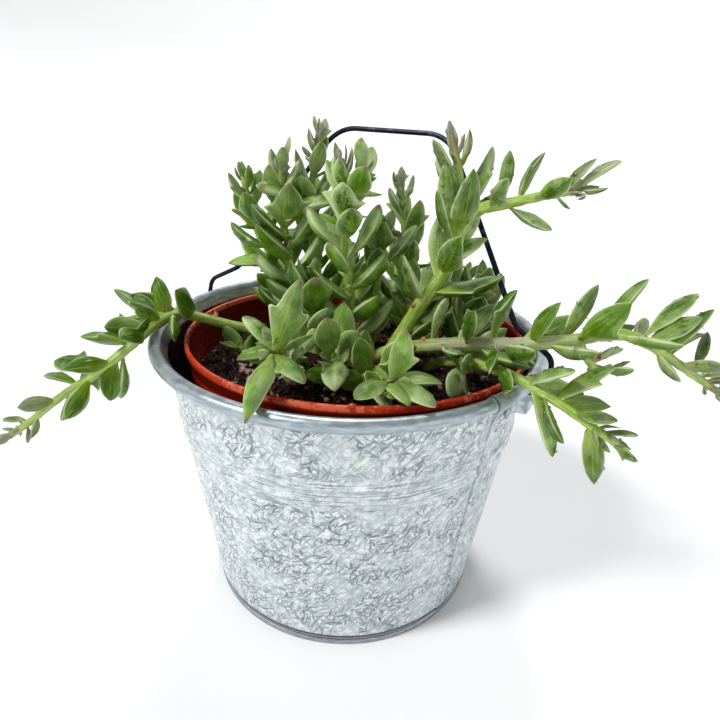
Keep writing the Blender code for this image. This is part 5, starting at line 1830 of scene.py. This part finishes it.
class POTTED_OT_scraps(Operator):
    """Hangs dry scraps of dead leaves where the stems are old"""

    bl_idname = "potted.scraps"
    bl_label = "Dry scraps"

    def execute(self, context):
        look = context.scene.potted_plant
        paint = Paint("dry_leaf")
        fibres = paint.noise(paint.place(), 900.0, 3.0, 0.6)
        paint.relief(fibres, 0.2 * MM)
        tone = paint.blend(paint.ramp(fibres, 0.35, 0.65), look.dry, look.dry_light)
        dry = paint.finish(tone, 0.75)
        draw, flakes = random.Random("scraps"), []
        for name, shoots in STEMS.items():
            for number, shoot in enumerate(shoots):
                route = Route(shoot)
                old = number == 0 and name in WORN
                for _ in range(8 if old else SCRAPS if number == 0 else 1):
                    share = draw.uniform(0.06, 0.3 if old else 0.55)
                    point, tangent, _ = route.at(route.length * share)
                    level = tangent.orthogonal().normalized()
                    angle = draw.uniform(0, math.tau)
                    out = level * math.cos(angle) + tangent.cross(level) * math.sin(angle)
                    turn = (tangent * draw.uniform(-1, 1) + out).to_track_quat("X", "Z").to_matrix()
                    flake = dry_flake(draw)
                    flake.transform(Matrix.Translation(point + out * 1.8 * MM) @ turn.to_4x4())
                    flakes.append(flake)
        for _ in range(6):
            flake = dry_flake(draw)
            along, across = draw.uniform(-8, 8) * MM, draw.uniform(-1, 1) * MM
            place = on_mix(DRY_STRIP[0] + along, DRY_STRIP[1] + 0.38 * along + across)
            flake.transform(moved_to(place + UP * 1.4 * MM, 0.36 + draw.uniform(-0.3, 0.3),
                                     (1.6, 1.5, 0.8)))
            flakes.append(flake)
        joined("dry_scraps", flakes, dry, "succulent_green")
        return {"FINISHED"}


class POTTED_OT_drops(Operator):
    """Sprinkles drops of water on the leaves of the right-hand stems"""

    bl_idname = "potted.drops"
    bl_label = "Water drops"

    def execute(self, context):
        look = context.scene.potted_plant
        tree, bead = scattered_tree("Scattered drops", True), bpy.data.meshes.new("bead")
        water = Paint("water", transmission_weight=1.0, ior=1.33, roughness=0.03).material
        with editing(bead) as work:
            bmesh.ops.create_uvsphere(work, u_segments=10, v_segments=6, radius=1)
        bead.transform(Matrix.Diagonal((1, 1, 0.7, 1)))
        bead.shade_smooth()
        beads = shape_set("bead", [bead])
        for seed, name in enumerate(WET_STEMS):
            leaves = bpy.data.objects[name.replace("stem", "leafy")].data.copy()
            along = np.zeros(len(leaves.vertices), np.float32)
            leaves.attributes["along"].data.foreach_get("value", along)
            add_attribute(leaves, "bed", "FLOAT", along > 0.1)
            drops = grown(name.replace("stem", "drops"), leaves, tree, shapes=beads, count=1,
                          density=look.drops, smallest=0.2 * MM, largest=0.9 * MM, sink=0.05 * MM,
                          seed=seed + 3, material=water)
            settle(drops, SHELL, "succulent_green")
        hanging = bead.copy()
        tip = Route(STEMS["stem_old_right"][2]).points[-1]
        hanging.transform(moved_to(tip + Vector((-1.5, -1.0, -1.6)) * MM, 0.0,
                                   (1.5 * MM, 1.5 * MM, 2.0 * MM)))
        hanging.materials.append(water)
        settle(new_object("drop_hanging", hanging), SHELL, "succulent_green")
        return {"FINISHED"}


class POTTED_OT_stage(Operator):
    """Lays the floor, hangs the lamps and sets the camera"""

    bl_idname = "potted.stage"
    bl_label = "Stage"

    def execute(self, context):
        look, scene = context.scene.potted_stage, context.scene
        section = [(0.0, 0.0), (FLOOR_FLAT, 0.0)]
        for turn in (math.pi / 2 * i / 24 for i in range(1, 25)):
            section.append((FLOOR_FLAT + FLOOR_CURVE * math.sin(turn),
                            FLOOR_CURVE * (1 - math.cos(turn))))
        mesh = spun_mesh("floor", section, 96)
        mesh.materials.append(Paint("floor", base_color=tuple(look.floor), roughness=0.9).material)
        new_object("floor", mesh)
        world = bpy.data.worlds.new("studio")
        scene.world = world
        world.use_nodes = True
        sky = world.node_tree.nodes["Background"]
        sky.inputs["Color"].default_value = (1.0, 1.0, 1.0, 1)
        sky.inputs["Strength"].default_value = look.world
        for name, place, spread, share, tone in (
            ("key", (-0.6, -0.32, 0.75), 14, 1.0, (1.0, 0.99, 0.97)),
            ("top", (-0.05, 0.5, 0.85), 12, 0.55, (1.0, 1.0, 1.0)),
        ):
            lamp = bpy.data.lights.new(name, "SUN")
            lamp.energy, lamp.angle, lamp.color = look.key * share, math.radians(spread), tone
            obj = bpy.data.objects.new(name, lamp)
            obj.location = place
            obj.rotation_euler = (-obj.location).to_track_quat("-Z", "Y").to_euler()
            scene.collection.objects.link(obj)
        camera = bpy.data.cameras.new("camera")
        camera.sensor_width, camera.lens, camera.clip_start = 36, CAMERA_LENS, 0.01
        obj = bpy.data.objects.new("camera", camera)
        right, up, ahead = (Vector(axis) for axis in CAMERA_AXES)
        obj.matrix_world = Matrix.Translation(Vector(CAMERA_PLACE) * MM) @ Matrix(
            (right, up, -ahead)).transposed().to_4x4()
        scene.collection.objects.link(obj)
        scene.camera = obj
        scene.view_settings.view_transform = "Standard"
        return {"FINISHED"}


class POTTED_PT_panel(Panel):
    bl_label = "Potted plant"
    bl_idname = "POTTED_PT_panel"
    bl_space_type = "VIEW_3D"
    bl_region_type = "UI"
    bl_category = "Potted plant"

    def draw(self, context):
        for name, group in LOOKS.items():
            box = self.layout.box()
            for field in group.__annotations__:
                box.prop(getattr(context.scene, name), field)
        for operator in OPERATORS:
            self.layout.operator(operator.bl_idname)


OPERATORS = (POTTED_OT_bucket, POTTED_OT_ears, POTTED_OT_handle, POTTED_OT_pot, POTTED_OT_mix,
             POTTED_OT_plant, POTTED_OT_scraps, POTTED_OT_drops, POTTED_OT_stage)


def register():
    for made in (*LOOKS.values(), *OPERATORS, POTTED_PT_panel):
        bpy.utils.register_class(made)
    for name, group in LOOKS.items():
        setattr(bpy.types.Scene, name, PointerProperty(type=group))


def unregister():
    for name in LOOKS:
        delattr(bpy.types.Scene, name)
    for made in (POTTED_PT_panel, *OPERATORS, *LOOKS.values()):
        bpy.utils.unregister_class(made)


def main():
    register()
    for name in ("bucket", "ears", "handle", "pot", "mix", "plant", "scraps", "drops", "stage"):
        getattr(bpy.ops.potted, name)()


if __name__ == "__main__":
    main()
